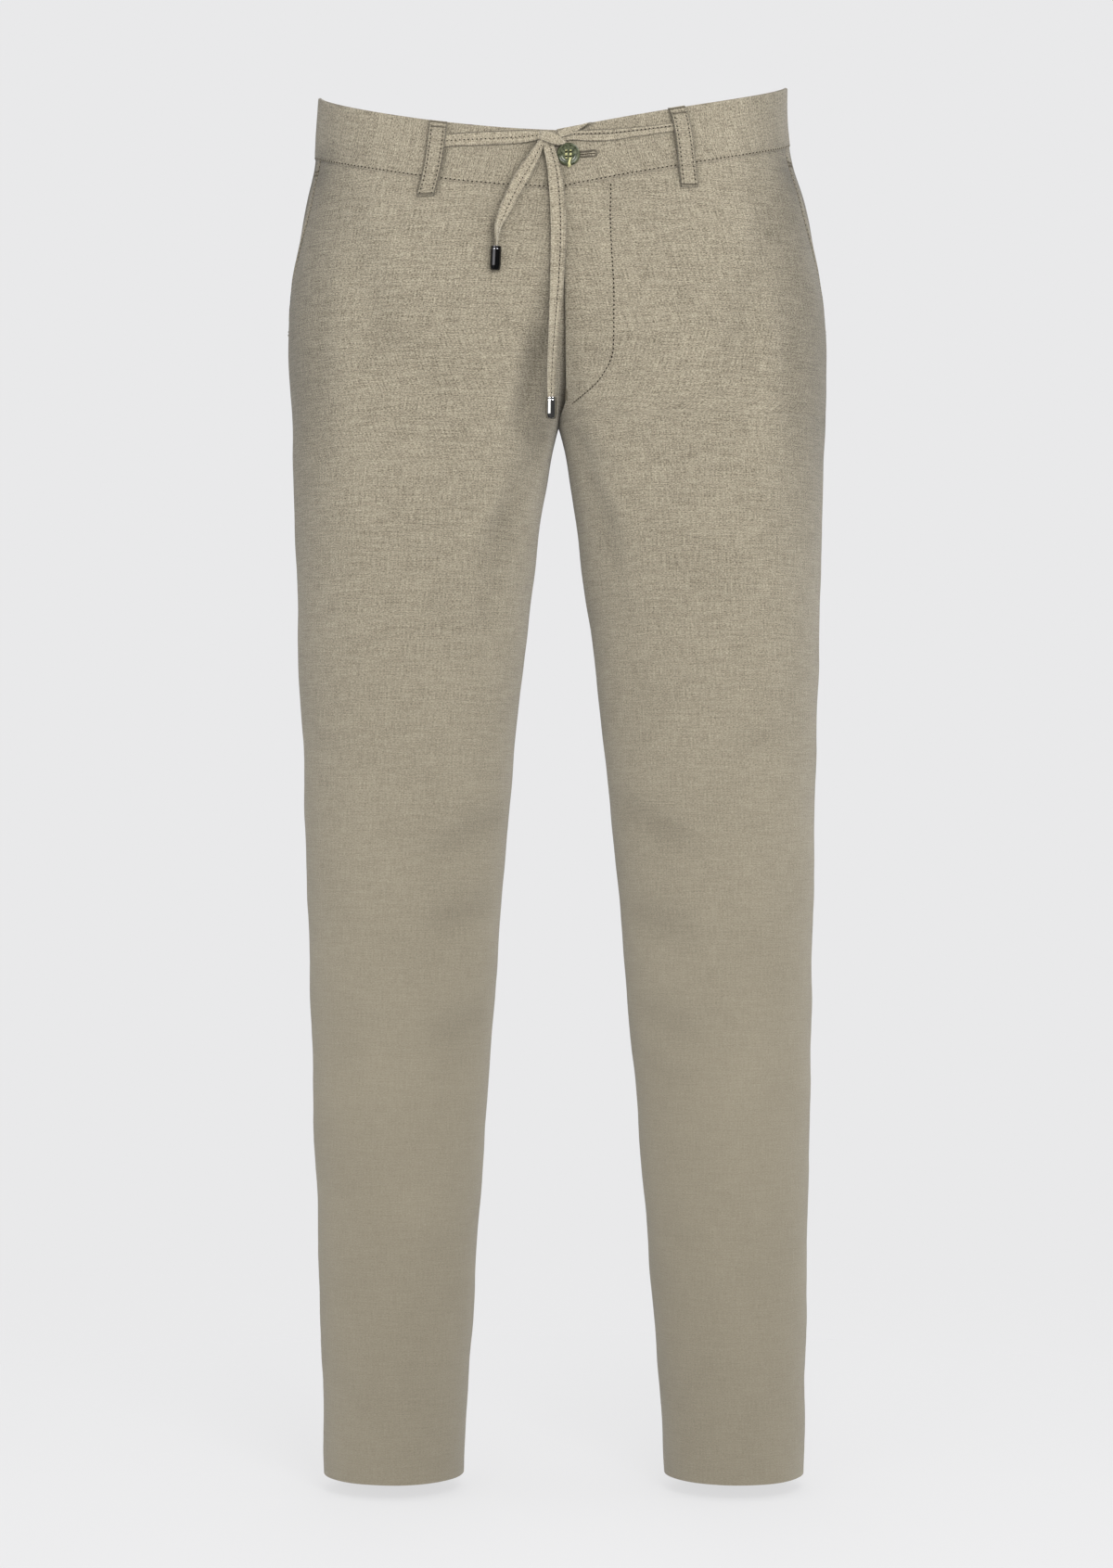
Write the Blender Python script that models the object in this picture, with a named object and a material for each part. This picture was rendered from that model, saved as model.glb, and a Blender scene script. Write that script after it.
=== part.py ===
"""Chinos with a drawstring waist, filled out as if worn, with no wearer.

Metres, +Z up. The front faces -Y and +X is the wearer's left. The origin is the centre of the
waist opening, where a wearer holds the garment up. Every panel is cut out of one surface: at each
height a leg is a rounded section, and above the crotch the sections of the two legs run into each
other and are cut off at the centre plane, which gives the seat and rise seams their curve.

A place on that surface is (side, angle, height). side is +1 for the wearer's left and -1 for the
right. angle is 0 at the outermost line, +90 degrees at the front, -90 degrees at the back and
180 degrees at the inner leg.
"""

import math

import bpy
import numpy as np
from mathutils import Vector

MM = 0.001

# Cloth
GAP = 0.3 * MM  # between two pieces at a seam
PANEL_WALL = 1.4 * MM
WAISTBAND_WALL = 2.4 * MM  # two layers and their interfacing
WAISTBAND_PROUD = 0.6 * MM  # how far the waistband stands out of the panels
LOOP_WALL = 1.5 * MM

# Waist
WAISTBAND_HEIGHT = 42 * MM
SIDE_TOP = 20.9 * MM  # top edge of the waistband at the side, above the origin
FRONT_DROP = 45.4 * MM  # how far that edge falls from the side to the centre front
BACK_DROP = 10.5 * MM
WAIST_TILT = 0.0217  # the wearer's left side sits a little higher
RIGHT_SAG = 5.0 * MM  # and the right half of the front edge hangs lower between side and centre

# Fly: the wearer's left front laps over the right one
FLAP_EDGE = 5 * MM  # from the centre line to the flap's free edge
WAIST_FLAP_EDGE = 3 * MM
# Lines of the right front near the fly, in mm: from the flap's edge where the fly is open, and from
# the centre seam under the fly
FLAP_STEPS = np.array(
    ((-8, -8), (-6, -6), (-4.4, -4.4), (-3.2, -3), (-2.1, -1.9), (-1, -1.1), (3, -0.6), (12, -0.15))
)
# Lines of the right waistband near the flap, in mm from the flap's edge. The last is the underlap's end.
WAIST_FLAP_STEPS = (-6, -4.4, -3.2, -2.1, -1, 6, 14, 22, 30)
FLAP_SINK = 2.2 * MM  # how far the underlap lies behind the flap
WAIST_FLAP_SINK = 3.0 * MM
FLY_FOOT, FLY_OPEN = -212 * MM, -185 * MM  # the lap starts at the foot and is full above
SINK_FOOT, SINK_FULL = -232 * MM, -214 * MM

# Side pockets
MOUTH_TOP_ANGLE, SIDE_SEAM_ANGLE = math.radians(16.5), math.radians(-7)
MOUTH_LENGTH = 145 * MM
FACING_SINK = 2.6 * MM
FACING_LAP = math.radians(6)

HEM = -1020 * MM
CROTCH = -233 * MM

# The section of one leg at each height, in mm: its outermost and innermost x from the centre line,
# how far it reaches to the front and the back, the y of its widest line, and how square it is
# (2 is an ellipse). Above the crotch "inner" lies past the centre line, where the leg is cut off.
SECTION_COLUMNS = ("z", "outer", "inner", "front", "back", "middle", "square")
SECTION_ROWS = (
    (40, 175.5, -175.5, 98, 103, 0, 2.35),
    (-10, 177.5, -177.5, 100, 107, 0, 2.35),
    (-36, 180.4, -180.4, 103, 112, 0, 2.35),
    (-60, 187.0, -184.0, 105, 118, 0, 2.35),
    (-90, 193.0, -161.0, 107, 125, 0, 2.35),
    (-120, 198.6, -115.0, 108, 129, 0, 2.33),
    (-150, 201.4, -66.0, 108, 130, 0, 2.30),
    (-180, 202.0, -31.0, 107, 128, 0, 2.26),
    (-205, 202.0, -13.5, 106, 124, 0, 2.22),
    (-225, 201.2, -2.4, 105, 120, 0, 2.18),
    (-245, 200.4, 3.6, 103, 115, 0, 2.15),
    (-280, 199.2, 9.6, 100, 106, 0, 2.12),
    (-350, 197.4, 19.2, 92, 93, 0, 2.10),
    (-420, 195.6, 28.0, 84, 84, 1, 2.10),
    (-490, 193.2, 35.4, 75, 76, 2, 2.08),
    (-560, 191.5, 42.0, 68, 69, 3, 2.08),
    (-630, 190.0, 47.6, 63, 65, 4, 2.06),
    (-770, 186.9, 58.8, 58, 60, 6, 2.05),
    (-910, 183.4, 69.0, 55, 57, 7, 2.05),
    (-1020, 181.2, 76.4, 57, 56, 7, 2.05),
)
SECTIONS = {
    name: np.array([row[i] for row in reversed(SECTION_ROWS)], float)
    for i, name in enumerate(SECTION_COLUMNS)
}
for name in SECTION_COLUMNS[:-1]:
    SECTIONS[name] *= MM

# How far the centre line leans to the wearer's left on its way down, in mm.
LEAN_ROWS = (
    (-1020, 5.9),
    (-730, 3.9),
    (-450, 2.1),
    (-330, 1.4),
    (-233, 1.6),
    (-160, 0.4),
    (-100, -0.3),
    (-62, -0.7),
    (-36, -1.9),
    (-10, -3.1),
    (40, -2.1),
)
LEAN_Z = np.array([row[0] for row in LEAN_ROWS]) * MM
LEAN_X = np.array([row[1] for row in LEAN_ROWS]) * MM

# The largest folds, in mm: each runs from (x0, z0) to (x1, z1) and swells by "rise" (a trough
# where it is negative) over "half" to either side. face is +1 on the front and -1 on the back.
FOLD_COLUMNS = ("face", "x0", "z0", "x1", "z1", "half", "rise")
FOLD_ROWS = (
    (1, -7, -128, -30, -236, 8, -1.8),
    (1, -22, -120, -47, -228, 11, 1.3),
    (1, 12, -216, 58, -282, 9, 1.6),
    (1, 16, -236, 44, -330, 8, -1.5),
    (1, -14, -238, -52, -330, 9, -1.7),
    (1, -150, -70, -120, -190, 16, -1.1),
    (1, 158, -75, 122, -200, 15, -1.2),
    (1, -38, -520, -92, -548, 11, -1.2),
    (1, 44, -512, 100, -545, 11, -1.3),
    (1, -44, -585, -96, -604, 12, -1.1),
    (1, 50, -592, 104, -612, 12, -1.0),
    (1, -52, -668, -94, -690, 13, -0.9),
    (1, 60, -660, 102, -684, 12, -1.0),
    (-1, -18, -246, -132, -226, 10, -2.6),
    (-1, 16, -250, 126, -232, 10, -2.4),
    (-1, -24, -276, -110, -262, 11, -1.6),
    (-1, 26, -282, 116, -264, 11, -1.8),
    (-1, -22, -168, -84, -120, 14, -1.3),
    (-1, 24, -160, 90, -118, 14, -1.2),
    (-1, -48, -560, -158, -548, 10, -1.8),
    (-1, 52, -556, 160, -550, 10, -1.9),
    (-1, -60, -598, -150, -606, 11, -1.5),
    (-1, 58, -604, 156, -598, 11, -1.4),
)

# Belt loops: angle and drop below the waistband's top edge at either end, in degrees and mm.
# A bow bends the strip sideways between its ends.
LOOP_COLUMNS = ("name", "side", "top_angle", "top_drop", "end_angle", "end_drop", "bow")
LOOP_ROWS = (
    ("belt_loop_front_right", -1, 63.4, 0.8, 62.3, 54.3, 0.0),
    ("belt_loop_front_left", 1, 60.8, 0.8, 60.8, 58.8, 1.9),
    ("belt_loop_back_right", -1, -46.0, 0.8, -46.6, 56.5, 0.0),
    ("belt_loop_back_left", 1, -46.4, 0.8, -46.0, 56.5, 0.0),
    ("belt_loop_centre_back", 1, -90.0, 0.8, -90.0, 56.5, 0.0),
)
LOOP_WIDTH = 12.5 * MM
LOOP_ARCH = 3.6 * MM  # the loop clears the waistband by this much half way down
LOOP_SEAT = 0.3 * MM

# Button
BUTTON_X, BUTTON_Z = 8.6 * MM, -43.4 * MM
BUTTON_RADIUS, BUTTON_HEIGHT = 8.5 * MM, 3.0 * MM
BUTTON_SEAT = 0.4 * MM  # between the flat back and the rounded cloth
BUTTON_RIM, BUTTON_DISH = 1.5 * MM, 0.9 * MM
BUTTON_HOLE_RADIUS, BUTTON_HOLE_PITCH = 1.0 * MM, 3.1 * MM

# Drawstring: a flat tube of the same cloth. Each route is a list of points in mm: x, z, how far
# its middle stands out of the surface, its width there, and the turn of its flat side in degrees.
CORD_THICKNESS = 1.8 * MM
CORD_COLUMNS = ("x", "z", "out", "width", "turn")
CORD_ROUTES = {
    "drawstring_right_band": (
        (-93.0, -33.6, 2.0, 9.4, 0),
        (-82.0, -31.9, 2.0, 9.6, 0),
        (-60.0, -31.2, 2.0, 10.2, 0),
        (-38.5, -30.6, 2.2, 10.2, 0),
        (-24.0, -30.1, 2.8, 9.4, 0),
        (-12.6, -29.6, 5.0, 6.4, 0),
    ),
    "drawstring_left_band": (
        (6.6, -31.4, 4.8, 4.4, 0),
        (12.4, -29.6, 3.4, 6.4, 0),
        (27.0, -29.2, 2.2, 8.8, 0),
        (40.0, -28.4, 2.0, 8.4, 0),
        (56.0, -26.2, 2.0, 7.2, 0),
        (72.5, -23.6, 2.0, 6.4, 0),
        (86.0, -21.2, 2.0, 6.2, 0),
        (95.5, -19.4, 2.0, 6.2, 0),
    ),
    "drawstring_long_end": (
        (-6.2, -38.0, 6.6, 7.0, 0),
        (-3.6, -46.0, 7.2, 8.6, 0),
        (-1.2, -58.0, 6.8, 10.2, 0),
        (1.0, -82.0, 6.2, 11.2, 4),
        (1.4, -105.0, 6.2, 11.2, 8),
        (0.2, -139.0, 6.8, 10.8, 24),
        (-1.9, -172.0, 9.0, 10.6, 46),
        (-3.4, -199.0, 9.0, 10.4, 54),
        (-3.8, -217.6, 9.0, 6.4, 40),
    ),
    "drawstring_short_end": (
        (-10.6, -34.6, 5.8, 4.6, -38),
        (-18.6, -49.5, 7.4, 9.6, -28),
        (-27.6, -65.0, 8.4, 10.4, -18),
        (-37.0, -84.0, 8.6, 9.4, -30),
        (-42.2, -96.0, 7.6, 9.0, -62),
        (-43.3, -104.0, 6.9, 7.0, -78),
        (-43.6, -108.6, 6.6, 5.0, -78),
    ),
}
LONG_HANG = -114 * MM  # the long end hangs straight down at this y where the cloth falls away

# The strand that is tucked in: over the waistband's edge and down its inside.
# over is how far a point lies above (or, negative, below) the waistband's top edge.
TUCK_COLUMNS = ("x", "over", "out", "width")
TUCK_ROUTE = (
    (3.0, -4.2, 8.3, 5.2),
    (9.4, -2.9, 6.8, 6.8),
    (13.6, -1.4, 6.0, 7.8),
    (17.0, 0.2, 4.2, 8.6),
    (20.0, 1.4, 1.4, 9.4),
    (22.2, 1.6, -2.0, 9.8),
    (24.2, 0.6, -5.2, 10.0),
    (26.0, -3.0, -7.2, 10.0),
    (27.5, -10.0, -7.6, 10.0),
    (29.0, -20.0, -7.8, 10.0),
)

# Knot: where its middle lies, its half sizes across, out and up, how far its middle stands out of
# the waist, and how its long side slants.
KNOT_CENTRE = (-3.0 * MM, -31.2 * MM)
KNOT_HALF = (9.2 * MM, 4.0 * MM, 5.8 * MM)
KNOT_OUT = 5.2 * MM
KNOT_SLANT = math.radians(-12)

# Metal ends of the drawstring
TIP_RADIUS, TIP_BEVEL = 3.9 * MM, 0.7 * MM
LONG_TIP_LENGTH, SHORT_TIP_LENGTH = 15.5 * MM, 17.5 * MM

# Base colour (linear), roughness and metallic of each material
MATERIALS = {
    "cloth": ((0.36, 0.32, 0.245, 1), 0.9, 0.0),
    "metal": ((0.32, 0.32, 0.33, 1), 0.25, 1.0),
    "button": ((0.10, 0.13, 0.075, 1), 0.4, 0.0),
}


def clear_scene():
    for thing in list(bpy.data.objects):
        bpy.data.objects.remove(thing)


def material(name):
    found = bpy.data.materials.get(name)
    if found:
        return found
    colour, roughness, metallic = MATERIALS[name]
    made = bpy.data.materials.new(name)
    made.use_nodes = True
    shader = made.node_tree.nodes["Principled BSDF"]
    shader.inputs["Base Color"].default_value = colour
    shader.inputs["Roughness"].default_value = roughness
    shader.inputs["Metallic"].default_value = metallic
    return made


def add_object(name, points, faces, finish="cloth"):
    """One closed body from its points and faces, as an object of its own with its material."""
    mesh = bpy.data.meshes.new(name)
    mesh.from_pydata([tuple(point) for point in points], [], [tuple(face) for face in faces])
    mesh.shade_smooth()
    mesh.set_sharp_from_angle(angle=math.radians(40))
    body = bpy.data.objects.new(name, mesh)
    body.data.materials.append(material(finish))
    bpy.context.scene.collection.objects.link(body)
    return body


# ---------------------------------------------------------------- the garment's surface


def smooth_read(at, places, values):
    """A smooth curve through (places, values), with places rising, read at each of "at"."""
    slopes = np.gradient(values, places)
    at = np.clip(at, places[0], places[-1])
    i = np.clip(np.searchsorted(places, at) - 1, 0, len(places) - 2)
    span = places[i + 1] - places[i]
    t = (at - places[i]) / span
    return (
        values[i] * (1 + 2 * t) * (1 - t) ** 2
        + values[i + 1] * t**2 * (3 - 2 * t)
        + slopes[i] * span * t * (1 - t) ** 2
        - slopes[i + 1] * span * t**2 * (1 - t)
    )


def smoothstep(value, start, end):
    t = np.clip((value - start) / (end - start), 0, 1)
    return t * t * (3 - 2 * t)


def section(z, column):
    return smooth_read(z, SECTIONS["z"], SECTIONS[column])


def lean(z):
    return smooth_read(z, LEAN_Z, LEAN_X)


def centre_and_half_width(z):
    outer, inner = section(z, "outer"), section(z, "inner")
    return (outer + inner) / 2, (outer - inner) / 2


def bare_point(side, angle, z):
    """The surface's point, with no folds. The arguments may be arrays."""
    cos, sin = np.cos(angle), np.sin(angle)
    square = section(z, "square")
    reach = (np.abs(cos) ** square + np.abs(sin) ** square) ** (-1 / square)
    centre, half = centre_and_half_width(z)
    depth = np.where(sin > 0, section(z, "front"), section(z, "back"))
    x = lean(z) + side * (centre + half * reach * cos)
    y = section(z, "middle") - depth * reach * sin
    return np.stack(np.broadcast_arrays(x, y, z), axis=-1)


def outward(side, angle, z):
    """The level direction out of the cloth, square to its section."""
    step = 1e-4
    along = bare_point(side, angle + step, z) - bare_point(side, angle - step, z)
    turned = np.stack([-along[..., 1], along[..., 0], 0 * along[..., 0]], axis=-1)
    return np.asarray(side)[..., None] * turned / np.linalg.norm(turned, axis=-1, keepdims=True)


def fold_height(points, facing):
    """How far the folds lift the cloth at these points. facing is +1 at the front, -1 at the back."""
    total = np.zeros(points.shape[:-1])
    for row in FOLD_ROWS:
        fold = dict(zip(FOLD_COLUMNS, row))
        start = np.array((fold["x0"], fold["z0"])) * MM
        run = np.array((fold["x1"], fold["z1"])) * MM - start
        length = np.linalg.norm(run)
        offset = points[..., (0, 2)] - start
        along = offset @ run / length**2
        across = (offset[..., 0] * run[1] - offset[..., 1] * run[0]) / length
        fade = smoothstep(along, -0.25, 0.3) * (1 - smoothstep(along, 0.7, 1.25))
        shown = smoothstep(facing * fold["face"], 0.15, 0.55)
        total += fold["rise"] * MM * shown * fade * np.exp(-((across / (fold["half"] * MM)) ** 2))
    return total


def surface(side, angle, z, out=0.0):
    """The folded surface's point, moved out along its normal."""
    points = bare_point(side, angle, z)
    lift = fold_height(points, np.sin(angle) + 0 * z) + out
    return points + outward(side, angle, z) * lift[..., None]


def angle_at(side, x, z, face=1):
    """The angle where the front (or back) surface has this x."""
    centre, half = centre_and_half_width(z)
    square = section(z, "square")
    across = np.clip((side * (x - lean(z)) - centre) / half, -1, 1)
    deep = (1 - np.abs(across) ** square) ** (1 / square)
    return face * np.arctan2(deep, across)


def turn_of(side, angle, z, distance):
    """The change of angle that moves a point by this distance round the section."""
    step = 1e-3
    run = np.linalg.norm(bare_point(side, angle + step, z) - bare_point(side, angle - step, z), axis=-1)
    return distance * 2 * step / run


def front_place(x, z):
    """(side, angle) of the front surface's point at this x and z."""
    side = np.where(x >= lean(z), 1, -1)
    return side, angle_at(side, x, z)


def front_point(x, z, out):
    side, angle = front_place(x, z)
    return surface(side, angle, z, out)


# ---------------------------------------------------------------- edges of the pieces


def top_edge(side, angle):
    """Height of the waistband's top edge at this angle."""
    soft = 0.1
    share = np.clip(np.abs(angle) / (math.pi / 2), 0, 1)
    eased = (np.sqrt(share**2 + soft**2) - soft) / (math.sqrt(1 + soft**2) - soft)
    sag = np.where((angle > 0) & (np.asarray(side) < 0), RIGHT_SAG, 0) * np.sin(math.pi * share**2)
    drop = np.where(angle > 0, FRONT_DROP, BACK_DROP) * eased + sag
    return SIDE_TOP - drop + side * WAIST_TILT * section(0.0, "outer") * np.cos(angle)


def mouth_angle(side, z):
    """The front panel's outer edge: the pocket mouth, and the side seam under it."""
    top = SIDE_TOP - WAISTBAND_HEIGHT
    share = np.clip((top - z) / MOUTH_LENGTH, 0, 1)
    return MOUTH_TOP_ANGLE + (SIDE_SEAM_ANGLE - MOUTH_TOP_ANGLE) * share**1.4


def seam_start(side, z):
    edge = mouth_angle(side, z)
    return edge + turn_of(side, edge, z, GAP / 2)


def seam_end(side, z):
    edge = SIDE_SEAM_ANGLE + 0 * z
    return edge - turn_of(side, edge, z, GAP / 2)


def inner_edge(side, z, x, face, short=0.0):
    """The angle of a panel's centre seam, at this x above the crotch, and of its inseam below.
    short ends it that much before the inseam."""
    inseam = math.pi - turn_of(side, math.pi + 0 * z, z, GAP / 2 + short)
    return face * np.minimum(angle_at(side, lean(z) + x, z), inseam)


def fly_opening(z):
    return smoothstep(z, FLY_FOOT, FLY_OPEN)


def front_left_edge(side, z):
    return inner_edge(side, z, FLAP_EDGE * fly_opening(z) + GAP / 2, 1)


def front_right_edge(side, z, lapped, seamed):
    """A line of the right front near the centre: "lapped" from the flap's edge where the fly
    opens, and "seamed" from the centre seam under it."""
    lap = fly_opening(z)
    x = FLAP_EDGE * lap + lapped * lap + seamed * (1 - lap)
    return inner_edge(side, z, x, 1, -seamed - GAP / 2)


def back_centre(side, z):
    return inner_edge(side, z, side * GAP / 2, -1)


def no_sink(side, points):
    return np.zeros(points.shape[:-1])


def panel_sink(side, points):
    """How far the right front steps in on its way under the flap."""
    if side > 0:
        return np.zeros(points.shape[:-1])
    x, z = points[..., 0] - lean(points[..., 2]), points[..., 2]
    flap = FLAP_EDGE * fly_opening(z)
    return FLAP_SINK * smoothstep(z, SINK_FOOT, SINK_FULL) * smoothstep(x, flap - 5 * MM, flap - 1 * MM)


def waist_sink(side, points):
    if side > 0:
        return np.zeros(points.shape[:-1])
    x = points[..., 0] - lean(points[..., 2])
    return WAIST_FLAP_SINK * smoothstep(x, WAIST_FLAP_EDGE - 5 * MM, WAIST_FLAP_EDGE - 1 * MM)


def front_left_columns(side, z):
    share = np.linspace(0, 1, z.shape[1])
    return seam_start(side, z) * (1 - share) + front_left_edge(side, z) * share


def front_right_columns(side, z):
    """Even columns as far as the step under the flap, then one at each line of that step."""
    lines = [front_right_edge(side, z, *(step * MM)) for step in FLAP_STEPS]
    share = np.linspace(0, 1, z.shape[1] - len(lines) + 1)
    share = np.append(share, np.ones(len(lines) - 1))
    angle = seam_start(side, z) * (1 - share) + lines[0] * share
    for i, line in enumerate(lines):
        angle[:, i - len(lines)] = line[:, i - len(lines)]
    return angle


def back_columns(side, z):
    share = np.linspace(0, 1, z.shape[1])
    return back_centre(side, z) * (1 - share) + seam_end(side, z) * share


# ---------------------------------------------------------------- closed walls


def wall(name, outer, inner, side, finish="cloth"):
    """A closed wall between two equal grids of points, [row, column], joined by their rims."""
    rows, columns = outer.shape[:2]
    points = np.concatenate([outer.reshape(-1, 3), inner.reshape(-1, 3)])
    index = np.arange(rows * columns).reshape(rows, columns)
    deep = index + rows * columns
    faces = []
    for r in range(rows - 1):
        for c in range(columns - 1):
            face = (index[r, c], index[r, c + 1], index[r + 1, c + 1], index[r + 1, c])
            back = (deep[r, c], deep[r + 1, c], deep[r + 1, c + 1], deep[r, c + 1])
            faces += [face, back]
    rim = [(0, c) for c in range(columns)]
    rim += [(r, columns - 1) for r in range(1, rows)]
    rim += [(rows - 1, c) for c in range(columns - 2, -1, -1)]
    rim += [(r, 0) for r in range(rows - 2, 0, -1)]
    for here, after in zip(rim, rim[1:] + rim[:1]):
        faces.append((index[after], index[here], deep[here], deep[after]))
    if side < 0:
        faces = [face[::-1] for face in faces]
    return add_object(name, points, faces, finish)


def grid_of_panel(side, columns_at, heights, columns):
    """Angles and heights of a panel's grid. Its top rows follow the waistband's seam."""
    level = np.array(heights)[:, None] + np.zeros(columns)
    pull = smoothstep(level, heights[0] - 168 * MM, heights[0])
    z = level
    for _ in range(12):
        angle = columns_at(side, z)
        seam = top_edge(side, angle) - WAISTBAND_HEIGHT - GAP
        z = level + (seam - heights[0]) * pull
    return angle, z


def panel_heights():
    """Rows from the waistband's seam to the hem, closest at the crotch."""
    seam = SIDE_TOP - WAISTBAND_HEIGHT - GAP
    hips = np.linspace(seam, -189 * MM, 8)
    crotch = np.array((-202, -212, -220, -226, -230, CROTCH / MM, -238, -246, -260, -280)) * MM
    legs = np.linspace(-308 * MM, HEM, 17)
    return np.concatenate([hips, crotch, legs])


def make_panel(name, side, columns_at, columns, sink):
    angle, z = grid_of_panel(side, columns_at, panel_heights(), columns)
    sunk = sink(side, bare_point(side, angle, z))
    outer = surface(side, angle, z, -sunk)
    inner = surface(side, angle, z, -sunk - PANEL_WALL)
    return wall(name, outer, inner, side)


def make_facing(name, side):
    """The layer behind a pocket mouth, which shows between the mouth and the side seam."""
    top = SIDE_TOP - WAISTBAND_HEIGHT + 6 * MM
    share = np.linspace(0, 1, 8)[None, :]
    z = np.linspace(top, top - MOUTH_LENGTH - 14 * MM, 12)[:, None] + 0 * share
    low = SIDE_SEAM_ANGLE - math.radians(3) + 0 * z
    angle = low * (1 - share) + (mouth_angle(side, z) + FACING_LAP) * share
    outer = surface(side, angle, z, -FACING_SINK)
    inner = surface(side, angle, z, -FACING_SINK - PANEL_WALL)
    return wall(name, outer, inner, side)


def waistband_columns(side, z):
    """Columns of a waistband half, from the centre back to the flap's edge or the underlap's end."""
    steps = WAIST_FLAP_STEPS if side < 0 else (GAP / 2 / MM,)
    lines = [inner_edge(side, z, WAIST_FLAP_EDGE + step * MM, 1) for step in steps]
    share = np.linspace(0, 1, z.shape[1] - len(steps) + 1)
    share = np.append(share, np.ones(len(steps) - 1))
    angle = back_centre(side, z) * (1 - share) + lines[0] * share
    for i, line in enumerate(lines):
        angle[:, i - len(lines)] = line[:, i - len(lines)]
    return angle


def make_waistband(name, side, columns):
    depth = np.linspace(0, WAISTBAND_HEIGHT, 5)[:, None]
    z = -depth + np.zeros(columns)
    for _ in range(10):
        angle = waistband_columns(side, z)
        z = top_edge(side, angle) - depth
    sunk = waist_sink(side, bare_point(side, angle, z))
    outer = surface(side, angle, z, WAISTBAND_PROUD - sunk)
    inner = surface(side, angle, z, WAISTBAND_PROUD - sunk - WAISTBAND_WALL)
    return wall(name, outer, inner, side)


def make_loop(row):
    """A strip that is sewn down at both ends and stands clear of the waistband between them."""
    loop = dict(zip(LOOP_COLUMNS, row))
    side, rows = loop["side"], 13
    down = np.linspace(0, 1, rows)[:, None]
    angle = np.radians(loop["top_angle"] * (1 - down) + loop["end_angle"] * down)
    drop = (loop["top_drop"] * (1 - down) + loop["end_drop"] * down) * MM
    z = top_edge(side, angle) - drop
    across = np.linspace(-0.5, 0.5, 4)[None, :] * LOOP_WIDTH
    bow = loop["bow"] * MM * np.sin(math.pi * down)
    angle = angle + turn_of(side, angle, z, across + bow) + 0 * z
    z = z + 0 * angle
    # the strip's lower end steps off the waistband on to the panel
    base = WAISTBAND_PROUD + LOOP_SEAT
    arch = base + LOOP_ARCH * np.sqrt(np.clip(np.sin(math.pi * down), 0, 1)) + 0 * across
    outer = surface(side, angle, z, arch + LOOP_WALL)
    inner = surface(side, angle, z, arch)
    return wall(loop["name"], outer, inner, side)


# ---------------------------------------------------------------- drawstring


def spread(rows, columns, steps):
    """The columns of a route, read along a smooth curve through its rows."""
    table = np.array(rows, float)
    here = np.arange(len(rows))
    at = np.linspace(0, len(rows) - 1, steps)
    return {name: smooth_read(at, here, table[:, i]) for i, name in enumerate(columns)}


def flat_tube(name, path, width, turn, flat, finish="cloth"):
    """A strip with rounded edges along a path. flat is the direction across it at no turn."""
    ahead = np.gradient(path, axis=0)
    ahead /= np.linalg.norm(ahead, axis=1, keepdims=True)
    across = flat - ahead * np.sum(flat * ahead, axis=1, keepdims=True)
    across /= np.linalg.norm(across, axis=1, keepdims=True)
    thick = np.cross(ahead, across)
    cos, sin = np.cos(turn)[:, None], np.sin(turn)[:, None]
    wide, deep = across * cos + thick * sin, thick * cos - across * sin
    corners = ((-0.5, -0.2), (-0.4, -0.5), (0.4, -0.5), (0.5, -0.2))
    corners += tuple((-a, -b) for a, b in corners)
    rings = [
        path + wide * (width * a)[:, None] + deep * (CORD_THICKNESS * b) for a, b in corners
    ]
    points = np.stack(rings, axis=1)
    rows, around = points.shape[:2]
    faces = [tuple(range(around))[::-1], tuple(range((rows - 1) * around, rows * around))]
    for r in range(rows - 1):
        for c in range(around):
            n = (c + 1) % around
            faces.append((r * around + c, r * around + n, (r + 1) * around + n, (r + 1) * around + c))
    return add_object(name, points.reshape(-1, 3), faces, finish)


def cord_path(name, steps):
    """The middle of a cord. It stands out of the front surface and keeps its x and z."""
    route = spread(CORD_ROUTES[name], CORD_COLUMNS, steps)
    x, z = route["x"] * MM, route["z"] * MM
    side, angle = front_place(x, z)
    path = np.stack([x, surface(side, angle, z)[:, 1], z], axis=1)
    path[:, 1] += route["out"] * MM / outward(side, angle, z)[:, 1]
    if name == "drawstring_long_end":
        hang = smoothstep(z, -120 * MM, -175 * MM)
        path[:, 1] = path[:, 1] * (1 - hang) + LONG_HANG * hang
    return path, route


def make_cord(name, steps):
    path, route = cord_path(name, steps)
    level = np.array((1.0, 0, 0)) if name.endswith("end") else np.array((0, 0, -1.0))
    flat = np.broadcast_to(level, path.shape)
    flat_tube(name, path, route["width"] * MM, np.radians(route["turn"]), flat)
    return path


def make_tuck():
    route = spread(TUCK_ROUTE, TUCK_COLUMNS, 26)
    x = route["x"] * MM
    side, angle = front_place(x, -22 * MM + 0 * x)
    z = top_edge(side, angle) + route["over"] * MM
    path = surface(side, angle, z, route["out"] * MM)
    flat = np.broadcast_to(np.array((1.0, 0, 0.25)), path.shape)
    flat_tube("drawstring_tuck", path, route["width"] * MM, 0 * x, flat)


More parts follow.
